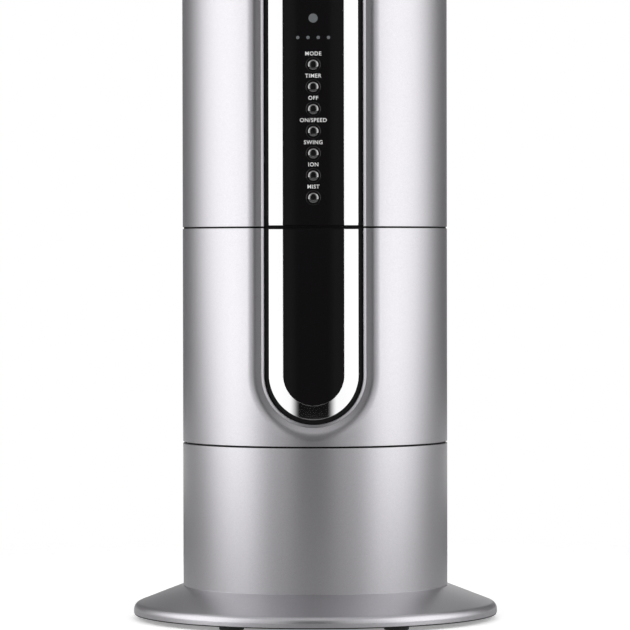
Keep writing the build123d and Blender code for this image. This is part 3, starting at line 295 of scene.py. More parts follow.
def silver_paint():
    """Silver metallic paint with fine flakes."""
    made = bpy.data.materials.get("silver_paint_finish")
    if made:
        return made
    colours = bpy.context.scene.fan_colours
    made = bpy.data.materials.new("silver_paint_finish")
    made.use_nodes = True
    tree = made.node_tree
    shader = tree.nodes["Principled BSDF"]
    flake = tree.nodes.new("ShaderNodeGroup")
    flake.node_tree = flake_group()
    flake.inputs["Color"].default_value = (*colours.silver, 1.0)
    flake.inputs["Sparkle"].default_value = 0.16
    relief = add_node(tree, "ShaderNodeBump", Strength=0.04, Distance=0.02 * MM)
    tree.links.new(flake.outputs["Color"], shader.inputs["Base Color"])
    tree.links.new(flake.outputs["Height"], relief.inputs["Height"])
    tree.links.new(relief.outputs["Normal"], shader.inputs["Normal"])
    shader.inputs["Metallic"].default_value = 0.85
    shader.inputs["Roughness"].default_value = 0.32
    return made


def chrome():
    """Bright plating, with the faintest haze."""
    colours = bpy.context.scene.fan_colours
    return finish_of("chrome_plate", tuple(colours.chrome), 0.035, scale=300.0, change=0.01, rough_change=0.02,
                     bump=0.0, Metallic=1.0)


def gloss_black():
    """Moulded gloss black."""
    colours = bpy.context.scene.fan_colours
    return finish_of("gloss_black", tuple(colours.black), 0.09, scale=500.0, change=0.2, rough_change=0.03,
                     bump=0.01, Specular_IOR_Level=0.05)


def button_black():
    """Hard, highly polished black of the push buttons."""
    colours = bpy.context.scene.fan_colours
    return finish_of("button_black", tuple(colours.black), 0.13, scale=500.0, change=0.2, rough_change=0.03,
                     bump=0.0, IOR=2.7)


def bezel_black():
    """Gloss black of the rings round the buttons."""
    colours = bpy.context.scene.fan_colours
    return finish_of("bezel_black", tuple(colours.black), 0.2, scale=500.0, change=0.2, rough_change=0.03,
                     bump=0.0, IOR=1.5)


def matte_black():
    """Fine-textured black of the plates, and of the rims behind the gaps, where the black is painted shade that
    keeps the gaps dark.
    """
    return finish_of("matte_black", (0.007, 0.007, 0.0075), 0.6, scale=1400.0, bump=0.15, Specular_IOR_Level=0.15)


def grey_plastic():
    """Moulded grey of the inner housings."""
    return finish_of("grey_plastic", (0.30, 0.30, 0.31), 0.5, scale=1200.0, bump=0.12)


def white_plastic():
    """Moulded off-white."""
    return finish_of("white_plastic", (0.72, 0.72, 0.70), 0.42, scale=1200.0, bump=0.08)


def clear_plastic():
    """Clear plastic of the water tank, with a trace of blue."""
    return finish_of("clear_plastic", (0.80, 0.88, 0.93), 0.12, change=0.02, bump=0.0, Transmission_Weight=0.85,
                     IOR=1.49)


def light_pipe():
    """Smoked lenses of the indicators and the receiver window, unlit."""
    return finish_of("light_pipe", (0.16, 0.17, 0.18), 0.18, bump=0.0, Coat_Weight=0.5)


def zinc_steel():
    """Zinc-plated steel of screws and brackets."""
    return finish_of("zinc_steel", (0.56, 0.57, 0.58), 0.34, scale=700.0, rough_change=0.15, bump=0.05,
                     Metallic=1.0)


def black_steel():
    """Steel with a dark oxide."""
    return finish_of("black_steel", (0.05, 0.05, 0.055), 0.4, scale=700.0, rough_change=0.12, Metallic=0.7)


def copper_winding():
    """Enamelled copper wire, wound."""
    return finish_of("copper_winding", (0.62, 0.26, 0.12), 0.35, scale=2200.0, change=0.3, bump=0.5, Metallic=1.0)


def circuit_board():
    """Green lacquered board."""
    return finish_of("circuit_board", (0.03, 0.16, 0.07), 0.4, scale=260.0, change=0.5, bump=0.1, Coat_Weight=0.4)


def rubber():
    """Matt black rubber of the pads and seals."""
    return finish_of("rubber", (0.022, 0.022, 0.022), 0.75, scale=1600.0, bump=0.3)


def filter_mesh():
    """Coarse dark mesh of the dust filter."""
    return finish_of("filter_mesh", (0.06, 0.062, 0.065), 0.8, scale=1100.0, change=0.9, bump=0.8, depth=0.3 * MM)


def acetal():
    """Slippery off-white plastic of gears and guides."""
    return finish_of("acetal", (0.78, 0.77, 0.72), 0.32, scale=800.0, bump=0.04)


def orange_float():
    """Orange plastic of the level float."""
    return finish_of("orange_float", (0.75, 0.22, 0.03), 0.45, scale=1300.0, bump=0.1)


def legend_ink():
    """Screen-printed white ink."""
    colours = bpy.context.scene.fan_colours
    return finish_of("legend_ink", tuple(colours.ink), 0.5, scale=3000.0, bump=0.1)


FINISHES = {
    "silver_paint": silver_paint, "chrome": chrome, "gloss_black": gloss_black, "matte_black": matte_black,
    "grey_plastic": grey_plastic, "white_plastic": white_plastic, "clear_plastic": clear_plastic,
    "light_pipe": light_pipe, "steel": zinc_steel, "black_steel": black_steel, "copper_winding": copper_winding,
    "circuit_board": circuit_board, "rubber": rubber, "filter_mesh": filter_mesh, "acetal": acetal,
    "orange_float": orange_float,
}


# ---- Modelling helpers ----
def clear_selection():
    """Leaves object mode with nothing selected."""
    if bpy.context.object and bpy.context.object.mode != "OBJECT":
        bpy.ops.object.mode_set(mode="OBJECT")
    bpy.ops.object.select_all(action="DESELECT")


def make_active(piece):
    """Selects one object alone."""
    clear_selection()
    piece.select_set(True)
    bpy.context.view_layer.objects.active = piece


def apply_modifier(piece, kind, name, **values):
    """Adds one modifier and applies it."""
    make_active(piece)
    made = piece.modifiers.new(name, kind)
    for key, value in values.items():
        setattr(made, key, value)
    bpy.ops.object.modifier_apply(modifier=made.name)


def settle(piece, name, material, body, smooth=40.0):
    """Names a finished piece, shades it evenly, gives it its finish, and lets it ride on its body."""
    make_active(piece)
    piece.name = name
    piece.data.name = name
    bpy.ops.object.transform_apply(location=True, rotation=True, scale=True)
    bpy.ops.object.shade_smooth_by_angle(angle=math.radians(smooth))
    apply_modifier(piece, "WEIGHTED_NORMAL", "even", keep_sharp=True)
    piece.data.materials.clear()
    piece.data.materials.append(material)
    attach(piece, body)
    return piece


def round_edges(piece, width, angle=60.0, segments=2):
    """Rounds every edge that is sharper than an angle in degrees."""
    apply_modifier(piece, "BEVEL", "round", width=width, segments=segments, limit_method="ANGLE",
                   angle_limit=math.radians(angle), use_clamp_overlap=True)


def turned(profile, segments):
    """Ring-shaped piece from a closed profile of radii and heights, drawn out ring by ring from a circle."""
    clear_selection()
    radius, height = profile[0]
    bpy.ops.mesh.primitive_circle_add(vertices=segments, radius=radius, location=(0, 0, 0))
    piece = bpy.context.object
    bpy.ops.object.mode_set(mode="EDIT")
    bpy.ops.mesh.select_all(action="SELECT")
    bpy.ops.transform.translate(value=(0, 0, height))
    for next_radius, next_height in profile[1:] + profile[:1]:
        bpy.ops.mesh.extrude_region_move(TRANSFORM_OT_translate={"value": (0, 0, next_height - height)})
        scale = next_radius / radius
        bpy.ops.transform.resize(value=(scale, scale, 1.0), center_override=(0, 0, next_height))
        radius, height = next_radius, next_height
    bpy.ops.mesh.select_all(action="SELECT")
    bpy.ops.mesh.remove_doubles(threshold=0.01 * MM)
    bpy.ops.mesh.normals_make_consistent(inside=False)
    bpy.ops.object.mode_set(mode="OBJECT")
    return piece


def arc_points(centre, radius, start, end, steps):
    """Points on an arc in a plane, with angles in degrees."""
    angles = [math.radians(start + (end - start) * n / steps) for n in range(steps + 1)]
    return [(centre[0] + radius * math.cos(a), centre[1] + radius * math.sin(a)) for a in angles]


def strip_loop(half, end_height, open_height, side_steps, arc_steps):
    """Slot-shaped line in X and Z: down one side, round the end, and back up the other side."""
    way = 1.0 if end_height > open_height else -1.0
    side = [open_height + (end_height - open_height) * n / side_steps for n in range(side_steps)]
    left = [(-half, z) for z in side]
    angles = [math.pi * n / arc_steps for n in range(arc_steps + 1)]
    turn = [(-half * math.cos(a), end_height + way * half * math.sin(a)) for a in angles]
    right = [(half, z) for z in reversed(side)]
    return left + turn + right


def on_column(x, z, depth):
    """Point at a depth below the column's surface, straight behind a place in the front view."""
    radius = column_radius - depth
    return Vector((x, -math.sqrt(radius * radius - x * x), z))


def mesh_piece(name, rows, closed_rows=False, caps=False):
    """Mesh from rows of points with equal counts, joined by quads, with caps on the rows' open ends if asked."""
    count = len(rows[0])
    verts = [tuple(point) for row in rows for point in row]
    faces = []
    pairs = len(rows) if closed_rows else len(rows) - 1
    for r in range(pairs):
        low, high = r * count, ((r + 1) % len(rows)) * count
        faces += [(low + n, low + n + 1, high + n + 1, high + n) for n in range(count - 1)]
    if caps:
        faces.append(tuple(r * count for r in range(len(rows))))
        faces.append(tuple(r * count + count - 1 for r in reversed(range(len(rows)))))
    mesh = bpy.data.meshes.new(name)
    mesh.from_pydata(verts, [], faces)
    mesh.update()
    piece = bpy.data.objects.new(name, mesh)
    bpy.context.scene.collection.objects.link(piece)
    make_active(piece)
    bpy.ops.object.mode_set(mode="EDIT")
    bpy.ops.mesh.select_all(action="SELECT")
    bpy.ops.mesh.normals_make_consistent(inside=False)
    bpy.ops.object.mode_set(mode="OBJECT")
    return piece


def face_front(piece):
    """Turns an open skin's faces towards the outside of the column, judged by one face beside the slot."""
    face = min(piece.data.polygons, key=lambda f: f.center.y)
    if face.normal.y > 0:
        piece.data.flip_normals()


# ---- Silver shells ----
SLOT_WALL = 1.6 * MM  # depth of the slot's wall below its rounded edge
COVE_VALLEY = 1.2 * MM  # radius where the slope starts from the lip
SHELL_SMOOTH = 35.0  # steepest angle in degrees that the shells are shaded smooth over


def recess_profile(sizes):
    """Half width and depth of each line of the recess, from the slot's wall to the column's surface."""
    slot, depth, edge = sizes.slot_half, sizes.recess_depth, sizes.lip_round
    edge_steps, valley_steps, slope_steps, blend_steps = 5, 4, 5, 16
    lines = [(slot, depth + edge + SLOT_WALL), (slot, depth + edge + SLOT_WALL / 2)]
    lines += arc_points((slot + edge, depth + edge), edge, 180.0, 270.0, edge_steps)
    lip_end = slot + sizes.lip_width
    cove_end = lip_end + sizes.cove_width
    slope = math.atan2(depth, sizes.cove_width)
    valley = (lip_end - COVE_VALLEY * math.tan(slope / 2), depth - COVE_VALLEY)
    lines += arc_points(valley, COVE_VALLEY, 90.0, 90.0 - math.degrees(slope), valley_steps)
    reach = sizes.cove_blend * math.tan(slope / 2)
    centre = (cove_end + reach, sizes.cove_blend)
    first = (cove_end - reach * math.cos(slope), reach * math.sin(slope))
    start = lines[-1]
    for n in range(1, slope_steps):
        t = n / slope_steps
        lines.append((start[0] + (first[0] - start[0]) * t, start[1] + (first[1] - start[1]) * t))
    lines += arc_points(centre, sizes.cove_blend, -90.0 - math.degrees(slope), -90.0, blend_steps)
    return lines


def front_shell(name, low, high, end_height, open_height, side_steps):
    """Front half of one section's shell, with the recess round the strip's end.

    Its rows run round the strip: first the recess, then lines that spread from it to the shell's own border.
    """
    sizes = bpy.context.scene.fan_shells
    arc_steps, spread_steps = 180, 72
    profile = recess_profile(sizes)
    rows = []
    for half, depth in profile:
        line = strip_loop(half, end_height, open_height, side_steps, arc_steps)
        rows.append([on_column(x, z, depth) for x, z in line])
    last_half = profile[-1][0]
    inner = strip_loop(last_half, end_height, open_height, side_steps, arc_steps)
    turn_max = math.acos(-shell_back / column_radius)
    far = high if end_height > open_height else low
    corner_steps = arc_steps // 6
    border = [(-turn_max, z) for _, z in inner[:side_steps]]
    for n in range(arc_steps + 1):
        if n <= corner_steps:
            border.append((-turn_max, end_height + (far - end_height) * n / corner_steps))
        elif n >= arc_steps - corner_steps:
            border.append((turn_max, end_height + (far - end_height) * (arc_steps - n) / corner_steps))
        else:
            t = (n - corner_steps) / (arc_steps - 2 * corner_steps)
            border.append((turn_max * (2 * t - 1), far))
    border += [(turn_max, z) for _, z in inner[side_steps + arc_steps + 1:]]
    for step in range(1, spread_steps + 1):
        t = step / spread_steps
        row = []
        for (x, z), (turn, edge_z) in zip(inner, border):
            angle = math.asin(x / column_radius) * (1 - t) + turn * t
            height = z * (1 - t) + edge_z * t
            row.append(Vector((column_radius * math.sin(angle), -column_radius * math.cos(angle), height)))
        rows.append(row)
    piece = mesh_piece(name, rows)
    face_front(piece)
    apply_modifier(piece, "SOLIDIFY", "wall", thickness=sizes.wall, offset=-1.0, use_even_offset=True)
    round_edges(piece, sizes.seam_round)
    return piece


class FAN_OT_front_shells(bpy.types.Operator):
    """Builds the two front shells with the coved recess round the strip"""

    bl_idname = "fan.front_shells"
    bl_label = "Front Shells"

    def execute(self, context):
        lower = front_shell("mist_section_shell", seam_bottom, seam_top, strip_low, seam_top, side_steps=30)
        settle(lower, "mist_section_shell", silver_paint(), "column", SHELL_SMOOTH)
        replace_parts(lower, "tank_front_shell")
        upper = front_shell("fan_section_shell", fan_bottom, fan_top, strip_high, fan_bottom, side_steps=40)
        settle(upper, "fan_section_shell", silver_paint(), "column", SHELL_SMOOTH)
        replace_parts(upper, "fan_front_shell")
        return {"FINISHED"}


# ---- Drum, foot and cap ----
DRUM_RINGS = 8
FOOT_RIM = 8.0 * MM  # height of the foot's upright rim
FOOT_ROUND = 7.0 * MM  # radius between the rim and the slope
FOOT_SHOULDER = 1.5 * MM  # from the column's surface out to the top of the slope
FOOT_TOP_ROUND = 0.3 * MM
FOOT_LEDGE = 9.0 * MM  # how far the foot's top reaches in under the drum
CAP_SEAM = 0.6 * MM  # from the fan section up to the cap's side
CAP_ROUND = 15.0 * MM
CAP_MIDDLE = 0.2 * MM  # radius of the innermost ring
CAP_SKIRT_IN = 1.0 * MM
CAP_SKIRT_UP = 2.0 * MM
CAP_SKIRT_EDGE = 0.5 * MM
THICK_WALL = 2.6 * MM  # wall of the foot and the cap


class FAN_OT_drum_and_foot(bpy.types.Operator):
    """Turns the drum and the domed foot"""

    bl_idname = "fan.drum_and_foot"
    bl_label = "Drum and Foot"

    def execute(self, context):
        sizes = context.scene.fan_shells
        low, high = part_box("base_drum")[0][2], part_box("base_drum")[1][2]
        edge = sizes.seam_round
        inner = column_radius - sizes.wall
        profile = arc_points((column_radius - edge, high - edge), edge, 0.0, 90.0, 5)
        profile += [(inner, high), (inner, low), (column_radius, low)]
        profile += [(column_radius, low + (high - edge - low) * n / DRUM_RINGS) for n in range(1, DRUM_RINGS)]
        drum = settle(turned(profile, sizes.segments), "drum_skin", silver_paint(), "base")
        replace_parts(drum, "base_drum")

        foot_low, foot_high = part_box("foot_cover")[0][2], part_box("foot_cover")[1][2]
        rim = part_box("foot_cover")[1][0]
        rim_top = foot_low + FOOT_RIM
        shoulder = column_radius + FOOT_SHOULDER
        slope = math.atan2(foot_high - rim_top, rim - shoulder)
        reach = FOOT_ROUND * math.tan((math.pi / 2 - slope) / 2)
        centre = (rim - FOOT_ROUND, rim_top - reach)
        profile = [(rim, foot_low)]
        profile += arc_points(centre, FOOT_ROUND, 0.0, math.degrees(math.pi / 2 - slope), 8)
        crown = profile[-1]
        profile += [(crown[0] + (shoulder - crown[0]) * t, crown[1] + (foot_high - crown[1]) * t)
                    for t in (0.25, 0.5, 0.75)]
        top_round = (shoulder - FOOT_TOP_ROUND, foot_high - FOOT_TOP_ROUND)
        profile += arc_points(top_round, FOOT_TOP_ROUND, 60.0, 90.0, 2)
        ledge, under = column_radius - FOOT_LEDGE, foot_high - THICK_WALL
        profile += [(ledge, foot_high), (ledge, under), (column_radius, under)]
        profile += [(rim - THICK_WALL, rim_top - THICK_WALL), (rim - THICK_WALL, foot_low)]
        foot = settle(turned(profile, sizes.segments), "foot_skin", silver_paint(), "base")
        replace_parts(foot, "foot_cover")
        return {"FINISHED"}


class FAN_OT_top_cap(bpy.types.Operator):
    """Turns the domed cap"""

    bl_idname = "fan.top_cap"
    bl_label = "Top Cap"

    def execute(self, context):
        sizes = context.scene.fan_shells
        skirt_low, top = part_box("top_cap")[0][2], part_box("top_cap")[1][2]
        low = fan_top + CAP_SEAM
        edge = sizes.seam_round
        inside = column_radius - THICK_WALL
        flat = column_radius - CAP_ROUND
        centre = (flat, top - CAP_ROUND)
        profile = [(column_radius - edge, low), (column_radius - edge * 0.3, low + edge * 0.3)]
        profile += [(column_radius, low + edge)]
        profile += arc_points(centre, CAP_ROUND, 0.0, 90.0, 18)
        profile += [(column_radius * t, top) for t in (0.75, 0.6, 0.4, 0.2)] + [(CAP_MIDDLE, top)]
        profile += [(CAP_MIDDLE, top - THICK_WALL), (flat, top - THICK_WALL)]
        profile += arc_points(centre, CAP_ROUND - THICK_WALL, 90.0, 0.0, 10)[1:]
        profile += [(inside, fan_top), (inside, skirt_low)]
        profile += [(inside - THICK_WALL, skirt_low), (inside - THICK_WALL, low)]
        profile += [(inside - CAP_SKIRT_IN, low + CAP_SKIRT_UP), (inside - CAP_SKIRT_EDGE, low)]
        cap = settle(turned(profile, sizes.segments), "cap_skin", silver_paint(), "column")
        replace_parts(cap, "top_cap")
        return {"FINISHED"}


# ---- Chrome trim ----
TRIM_SIDE_LINE = 1.5 * MM  # below its rounded edge, a line that keeps the trim's side even in the light
TRIM_END_ROUND = 0.25 * MM  # rounding where the two lengths meet
TRIM_ARC_STEPS = 120


def trim_profile(sizes):
    """Half width and depth of each line round the trim's section."""
    inner, outer, edge = sizes.inner_half, trim_half, sizes.edge_round
    edge_steps, face_steps = 6, 14
    face = column_radius - trim_face
    back, side_line = face + sizes.depth, face + edge + TRIM_SIDE_LINE
    lines = [(inner, back), (inner, side_line)]
    lines += arc_points((inner + edge, face + edge), edge, 180.0, 270.0, edge_steps)
    span = outer - inner - 2 * edge
    lines += [(inner + edge + span * n / face_steps, face) for n in range(1, face_steps)]
    lines += arc_points((outer - edge, face + edge), edge, -90.0, 0.0, edge_steps)
    return lines + [(outer, side_line), (outer, back)]


def trim_length(name, end_height, open_height, side_steps):
    """One length of trim, round one end of the strip."""
    sizes = bpy.context.scene.fan_trim
    rows = []
    for half, depth in trim_profile(sizes):
        line = strip_loop(half, end_height, open_height, side_steps, TRIM_ARC_STEPS)
        rows.append([on_column(x, z, depth) for x, z in line])
    piece = mesh_piece(name, rows, closed_rows=True, caps=True)
    round_edges(piece, TRIM_END_ROUND)
    return piece


class FAN_OT_chrome_trim(bpy.types.Operator):
    """Builds the chrome trim in its two lengths"""

    bl_idname = "fan.chrome_trim"
    bl_label = "Chrome Trim"

    def execute(self, context):
        lower = trim_length("lower_trim_skin", strip_low, trim_seam_low, side_steps=24)
        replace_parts(settle(lower, "lower_trim_skin", chrome(), "column"), "lower_trim")
        upper = trim_length("upper_trim_skin", strip_high, trim_seam_high, side_steps=60)
        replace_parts(settle(upper, "upper_trim_skin", chrome(), "column"), "upper_trim")
        return {"FINISHED"}


# ---- Legends ----
LEGENDS = {
    "mist": "MIST", "ion": "ION", "swing": "SWING", "speed": "ON/SPEED", "off": "OFF", "timer": "TIMER",
    "mode": "MODE",
}
LETTER_FIT = 1.24  # size of the letters over the height of a capital
LETTER_SPACE = 1.1
LETTER_BOLD = 0.06 * MM  # how much the strokes are widened
INK_THICKNESS = 0.03 * MM  # from the middle of the ink to its faces
INK_HEIGHT = 0.04 * MM  # from the panel to the middle of the ink
LEGEND_SMOOTH = 30.0  # steepest angle in degrees that the ink is shaded smooth over


def legend(name, words, height):
    """One printed word, curved to the panel's face."""
    sizes = bpy.context.scene.fan_trim
    clear_selection()
    bpy.ops.object.text_add(location=(0, 0, 0))
    piece = bpy.context.object
    text = piece.data
    text.body = words
    text.align_x, text.align_y = "CENTER", "CENTER"
    text.size = sizes.letter_height * LETTER_FIT
    text.space_character = LETTER_SPACE
    text.offset = LETTER_BOLD
    text.extrude = INK_THICKNESS
    text.resolution_u = 4
    bpy.ops.object.convert(target="MESH")
    piece = bpy.context.object
    piece.data.transform(Matrix.Rotation(math.pi / 2, 4, "X"))
    corners = [v.co for v in piece.data.vertices]
    middle = (min(c.z for c in corners) + max(c.z for c in corners)) / 2
    ink = panel_face + INK_HEIGHT
    for vertex in piece.data.vertices:
        raised = -vertex.co.y
        x = vertex.co.x
        vertex.co = (x, -math.sqrt((ink + raised) ** 2 - x * x), vertex.co.z - middle + height)
    return settle(piece, name, legend_ink(), "column", LEGEND_SMOOTH)


class FAN_OT_legends(bpy.types.Operator):
    """Prints a plain word above each push button"""

    bl_idname = "fan.legends"
    bl_label = "Legends"

    def execute(self, context):
        rise = context.scene.fan_trim.letter_rise
        for key, words in LEGENDS.items():
            low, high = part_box(f"{key}_button")
            legend(f"{key}_legend", words, (low[2] + high[2]) / 2 + rise)
        return {"FINISHED"}


# ---- Finishes on the CAD nodes ----
WELD_GAP = 0.001 * MM
NODE_SMOOTH = 32.0  # steepest angle in degrees that a node is shaded smooth over


class FAN_OT_finishes(bpy.types.Operator):
    """Gives every piece that is shown from the frame its finish and clean shading"""

    bl_idname = "fan.finishes"
    bl_label = "Finishes"

    def execute(self, context):
        slots = {part["node"]: part["material_slot"] for part in frame["record"]["subparts"]}
        for node, piece in frame["nodes"].items():
            if slots[node] not in FINISHES:
                raise RuntimeError(f"{node} has the slot {slots[node]}, which has no finish")
            if node.endswith("_button"):
                material = button_black()
            elif node == "button_bezels":
                material = bezel_black()
            else:
                material = FINISHES[slots[node]]()
            piece.data.materials.clear()
            piece.data.materials.append(material)
            weld = piece.modifiers.new("weld", "WELD")
            weld.merge_threshold = WELD_GAP
            split = piece.modifiers.new("split", "EDGE_SPLIT")
            split.split_angle = math.radians(NODE_SMOOTH)
            even = piece.modifiers.new("even", "WEIGHTED_NORMAL")
            even.keep_sharp = True
        return {"FINISHED"}


# ---- Studio ----
STAGE_SIDES = 96
FLOOR_RADIUS = 1.05
FLOOR_FADE = (0.45, 1.0)  # radii between which the floor fades into the world
FLOOR_GLOW = 0.3  # lift of the floor that the camera sees
FLOOR_BOUNCE = 0.42  # what the floor gives to everything but the camera
CEILING_GLOW = 0.85
WORLD_FILL = 0.12  # grey of the world to everything but the camera
WALL_FOOT = (0.05, 0.32)  # heights between which the wall's foot turns into its upper part
SENSOR_WIDTH = 36.0  # in millimetres, as the lens
FARTHEST_SEEN = 50.0


def ramp_of(tree, factor, stops):
    """Strength over a factor, from (place, strength) pairs.

    The ramp holds greys up to one, so it is filled with shares of the top strength and multiplied back.
    """
    top = max(value for place, value in stops)
    ramp = tree.nodes.new("ShaderNodeValToRGB")
    ramp.color_ramp.interpolation = "EASE"
    parts = ramp.color_ramp.elements
    while len(parts) > 1:
        parts.remove(parts[-1])
    for n, (place, value) in enumerate(stops):
        part = parts[0] if n == 0 else parts.new(place)
        part.position = place
        part.color = (value / top, value / top, value / top, 1.0)
    tree.links.new(factor, ramp.inputs["Fac"])
    return math_node(tree, "MULTIPLY", ramp.outputs["Color"], top)


HIGH_LEFT = [  # degrees from the front towards -X, and brightness of the wall's upper part there
    (12.5, 0.005), (21, 1.0), (38, 1.05), (48, 1.75), (60, 2.55), (74, 2.75), (92, 2.65), (106, 2.0), (120, 0.7),
    (136, 0.1), (160, 0.1), (172, 0.7),
]
HIGH_RIGHT = [  # the same towards +X
    (11, 0.005), (19, 1.0), (36, 1.05), (46, 1.75), (58, 2.5), (73, 2.65), (92, 2.5), (108, 1.5), (122, 0.5),
    (134, 0.1), (158, 0.1), (172, 1.0),
]
LOW_LEFT = [  # brightness of the wall's foot
    (12.5, 0.005), (21, 1.0), (36, 1.1), (46, 2.3), (56, 4.1), (72, 4.2), (88, 2.7), (102, 1.0), (116, 0.25),
    (136, 0.10), (160, 0.10), (172, 0.3),
]
LOW_RIGHT = [
    (11, 0.005), (19, 1.0), (35, 1.05), (45, 2.2), (55, 3.8), (72, 3.8), (88, 2.5), (103, 1.0), (118, 0.2),
    (134, 0.1), (158, 0.1), (172, 0.5),
]
BANDS = [  # share of the wall's height, and the least brightness there
    (0.0, 0.3), (0.025, 0.8), (0.042, 0.8), (0.06, 0.0), (0.76, 0.0), (0.92, 0.9),
]


def wall_light():
    """Glow of the light wall: dark straight in front, bright at the sides, flagged towards the back."""
    made = bpy.data.materials.new("wall_light")
    made.use_nodes = True
    tree = made.node_tree
    tree.nodes.clear()
    studio = bpy.context.scene.fan_studio
    place = tree.nodes.new("ShaderNodeTexCoord")
    split = tree.nodes.new("ShaderNodeSeparateXYZ")
    tree.links.new(place.outputs["Object"], split.inputs["Vector"])
    front = math_node(tree, "MULTIPLY", split.outputs["Y"], -1.0)
    turn = math_node(tree, "ARCTAN2", split.outputs["X"], front)
    turn = math_node(tree, "ADD", math_node(tree, "DIVIDE", turn, 2 * math.pi), 0.5)
    lights = []
    for left, right in ((LOW_LEFT, LOW_RIGHT), (HIGH_LEFT, HIGH_RIGHT)):
        stops = [(0.5 - degrees / 360.0, value) for degrees, value in reversed(left)]
        stops += [(0.5 + degrees / 360.0, value) for degrees, value in right]
        lights.append(ramp_of(tree, turn, stops))
    rise = add_node(tree, "ShaderNodeMapRange", From_Min=WALL_FOOT[0], From_Max=WALL_FOOT[1])
    tree.links.new(split.outputs["Z"], rise.inputs["Value"])
    low = math_node(tree, "MULTIPLY", lights[0], math_node(tree, "SUBTRACT", 1.0, rise.outputs["Result"]))
    around = math_node(tree, "ADD", low, math_node(tree, "MULTIPLY", lights[1], rise.outputs["Result"]))
    share = math_node(tree, "DIVIDE", split.outputs["Z"], studio.wall_height)
    bands = ramp_of(tree, share, BANDS)
    glow = math_node(tree, "MAXIMUM", around, bands)
    light = tree.nodes.new("ShaderNodeEmission")
    tree.links.new(math_node(tree, "MULTIPLY", glow, studio.light), light.inputs["Strength"])
    out = tree.nodes.new("ShaderNodeOutputMaterial")
    tree.links.new(light.outputs["Emission"], out.inputs["Surface"])
    return made


def ceiling_light():
    """Even glow of the ceiling."""
    made = bpy.data.materials.new("ceiling_light")
    made.use_nodes = True
    tree = made.node_tree
    tree.nodes.clear()
    light = add_node(tree, "ShaderNodeEmission", Strength=CEILING_GLOW)
    out = tree.nodes.new("ShaderNodeOutputMaterial")
    tree.links.new(light.outputs["Emission"], out.inputs["Surface"])
    return made


def white_floor():
    """Pale floor that fades into the white world around it, and looks dim to everything but the camera."""
    made = finish_of("white_floor", (0.88, 0.88, 0.88), 0.6, scale=40.0, change=0.01, bump=0.0)
    tree = made.node_tree
    shader = tree.nodes["Principled BSDF"]
    shader.inputs["Emission Color"].default_value = (1.0, 1.0, 1.0, 1.0)
    shader.inputs["Emission Strength"].default_value = FLOOR_GLOW
    dim = add_node(tree, "ShaderNodeEmission", Strength=FLOOR_BOUNCE)
    path = tree.nodes.new("ShaderNodeLightPath")
    seen = tree.nodes.new("ShaderNodeMixShader")
    tree.links.new(path.outputs["Is Camera Ray"], seen.inputs["Fac"])
    tree.links.new(dim.outputs["Emission"], seen.inputs[1])
    tree.links.new(shader.outputs["BSDF"], seen.inputs[2])
    place = tree.nodes.new("ShaderNodeTexCoord")
    reach = tree.nodes.new("ShaderNodeVectorMath")
    reach.operation = "LENGTH"
    tree.links.new(place.outputs["Object"], reach.inputs[0])
    fade = add_node(tree, "ShaderNodeMapRange", From_Min=FLOOR_FADE[0], From_Max=FLOOR_FADE[1])
    fade.interpolation_type = "SMOOTHSTEP"
    tree.links.new(reach.outputs["Value"], fade.inputs["Value"])
    clear = tree.nodes.new("ShaderNodeBsdfTransparent")
    edge = tree.nodes.new("ShaderNodeMixShader")
    tree.links.new(fade.outputs["Result"], edge.inputs["Fac"])
    tree.links.new(seen.outputs["Shader"], edge.inputs[1])
    tree.links.new(clear.outputs["BSDF"], edge.inputs[2])
    tree.links.new(edge.outputs["Shader"], tree.nodes["Material Output"].inputs["Surface"])
    return made


def white_world():
    """White for the camera, and a dim grey for what the light wall leaves open."""
    world = bpy.data.worlds.new("white_world")
    bpy.context.scene.world = world
    world.use_nodes = True
    tree = world.node_tree
    tree.nodes.clear()
    seen = add_node(tree, "ShaderNodeBackground", Color=(1.0, 1.0, 1.0, 1.0))
    dim = add_node(tree, "ShaderNodeBackground", Color=(WORLD_FILL, WORLD_FILL, WORLD_FILL, 1.0))
    path = tree.nodes.new("ShaderNodeLightPath")
    mix = tree.nodes.new("ShaderNodeMixShader")
    out = tree.nodes.new("ShaderNodeOutputWorld")
    tree.links.new(path.outputs["Is Camera Ray"], mix.inputs["Fac"])
    tree.links.new(dim.outputs["Background"], mix.inputs[1])
    tree.links.new(seen.outputs["Background"], mix.inputs[2])
    tree.links.new(mix.outputs["Shader"], out.inputs["Surface"])


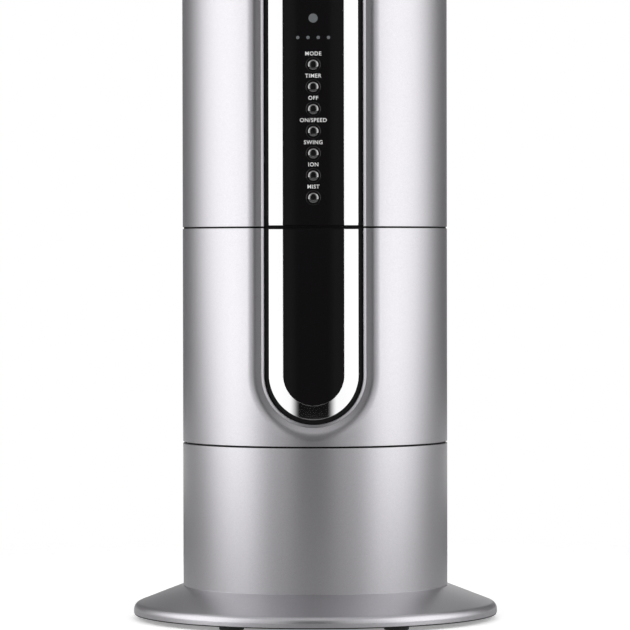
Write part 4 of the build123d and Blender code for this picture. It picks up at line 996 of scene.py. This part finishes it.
class FAN_OT_studio(bpy.types.Operator):
    """Sets up the floor, the soft light and the camera"""

    bl_idname = "fan.studio"
    bl_label = "Studio"

    def execute(self, context):
        studio = context.scene.fan_studio
        white_world()
        clear_selection()
        bpy.ops.mesh.primitive_circle_add(
            vertices=STAGE_SIDES, radius=FLOOR_RADIUS, fill_type="NGON", location=(0, 0, 0))
        floor = context.object
        floor.name = "floor"
        floor.data.materials.append(white_floor())
        clear_selection()
        bpy.ops.mesh.primitive_cylinder_add(
            vertices=STAGE_SIDES, radius=studio.wall_radius, depth=studio.wall_height,
            end_fill_type="NOTHING", location=(0, 0, studio.wall_height / 2))
        wall = context.object
        wall.name = "light_wall"
        bpy.ops.object.transform_apply(location=True)
        wall.data.materials.append(wall_light())
        clear_selection()
        bpy.ops.mesh.primitive_circle_add(
            vertices=STAGE_SIDES, radius=studio.wall_radius, fill_type="NGON",
            location=(0, 0, studio.wall_height))
        ceiling = context.object
        ceiling.name = "light_ceiling"
        ceiling.data.materials.append(ceiling_light())
        for light in (wall, ceiling):
            light.visible_camera = False

        turn = studio.camera_turn
        clear_selection()
        bpy.ops.object.camera_add(location=(0, 0, 0))
        camera = context.object
        camera.data.sensor_width = SENSOR_WIDTH
        camera.data.lens = studio.lens
        camera.data.clip_end = FARTHEST_SEEN
        place = Vector((math.sin(turn), -math.cos(turn), 0.0)) * studio.camera_distance
        place.z = studio.camera_height
        camera.matrix_world = (
            Matrix.Translation(place)
            @ Matrix.Rotation(turn, 4, "Z")
            @ Matrix.Rotation(math.pi / 2 - studio.camera_dip, 4, "X")
            @ Matrix.Rotation(studio.camera_roll, 4, "Z"))
        context.scene.camera = camera
        context.scene.view_settings.view_transform = "Standard"
        return {"FINISHED"}


class FAN_PT_looks(bpy.types.Panel):
    """Lists the steps of the fan's looks."""

    bl_idname = "FAN_PT_looks"
    bl_label = "Tower Fan"
    bl_space_type = "VIEW_3D"
    bl_region_type = "UI"
    bl_category = "Tower Fan"

    def draw(self, context):
        column = self.layout.column()
        for step in STEPS:
            column.operator(step.bl_idname)


STEPS = (
    FAN_OT_studio, FAN_OT_front_shells, FAN_OT_drum_and_foot, FAN_OT_top_cap, FAN_OT_chrome_trim, FAN_OT_legends,
    FAN_OT_finishes,
)
GROUPS = {
    "fan_shells": FanShellSizes, "fan_trim": FanTrimSizes, "fan_colours": FanColours, "fan_studio": FanStudio,
}


def register():
    """Registers the settings, the steps and the panel."""
    for name, group in GROUPS.items():
        bpy.utils.register_class(group)
        setattr(bpy.types.Scene, name, PointerProperty(type=group))
    for step in STEPS:
        bpy.utils.register_class(step)
    bpy.utils.register_class(FAN_PT_looks)


def unregister():
    """Takes everything that register added away again."""
    bpy.utils.unregister_class(FAN_PT_looks)
    for step in reversed(STEPS):
        bpy.utils.unregister_class(step)
    for name, group in GROUPS.items():
        delattr(bpy.types.Scene, name)
        bpy.utils.unregister_class(group)


def main():
    """Runs every step in order."""
    register()
    for step in STEPS:
        family, name = step.bl_idname.split(".")
        getattr(getattr(bpy.ops, family), name)()


if __name__ == "__main__":
    main()
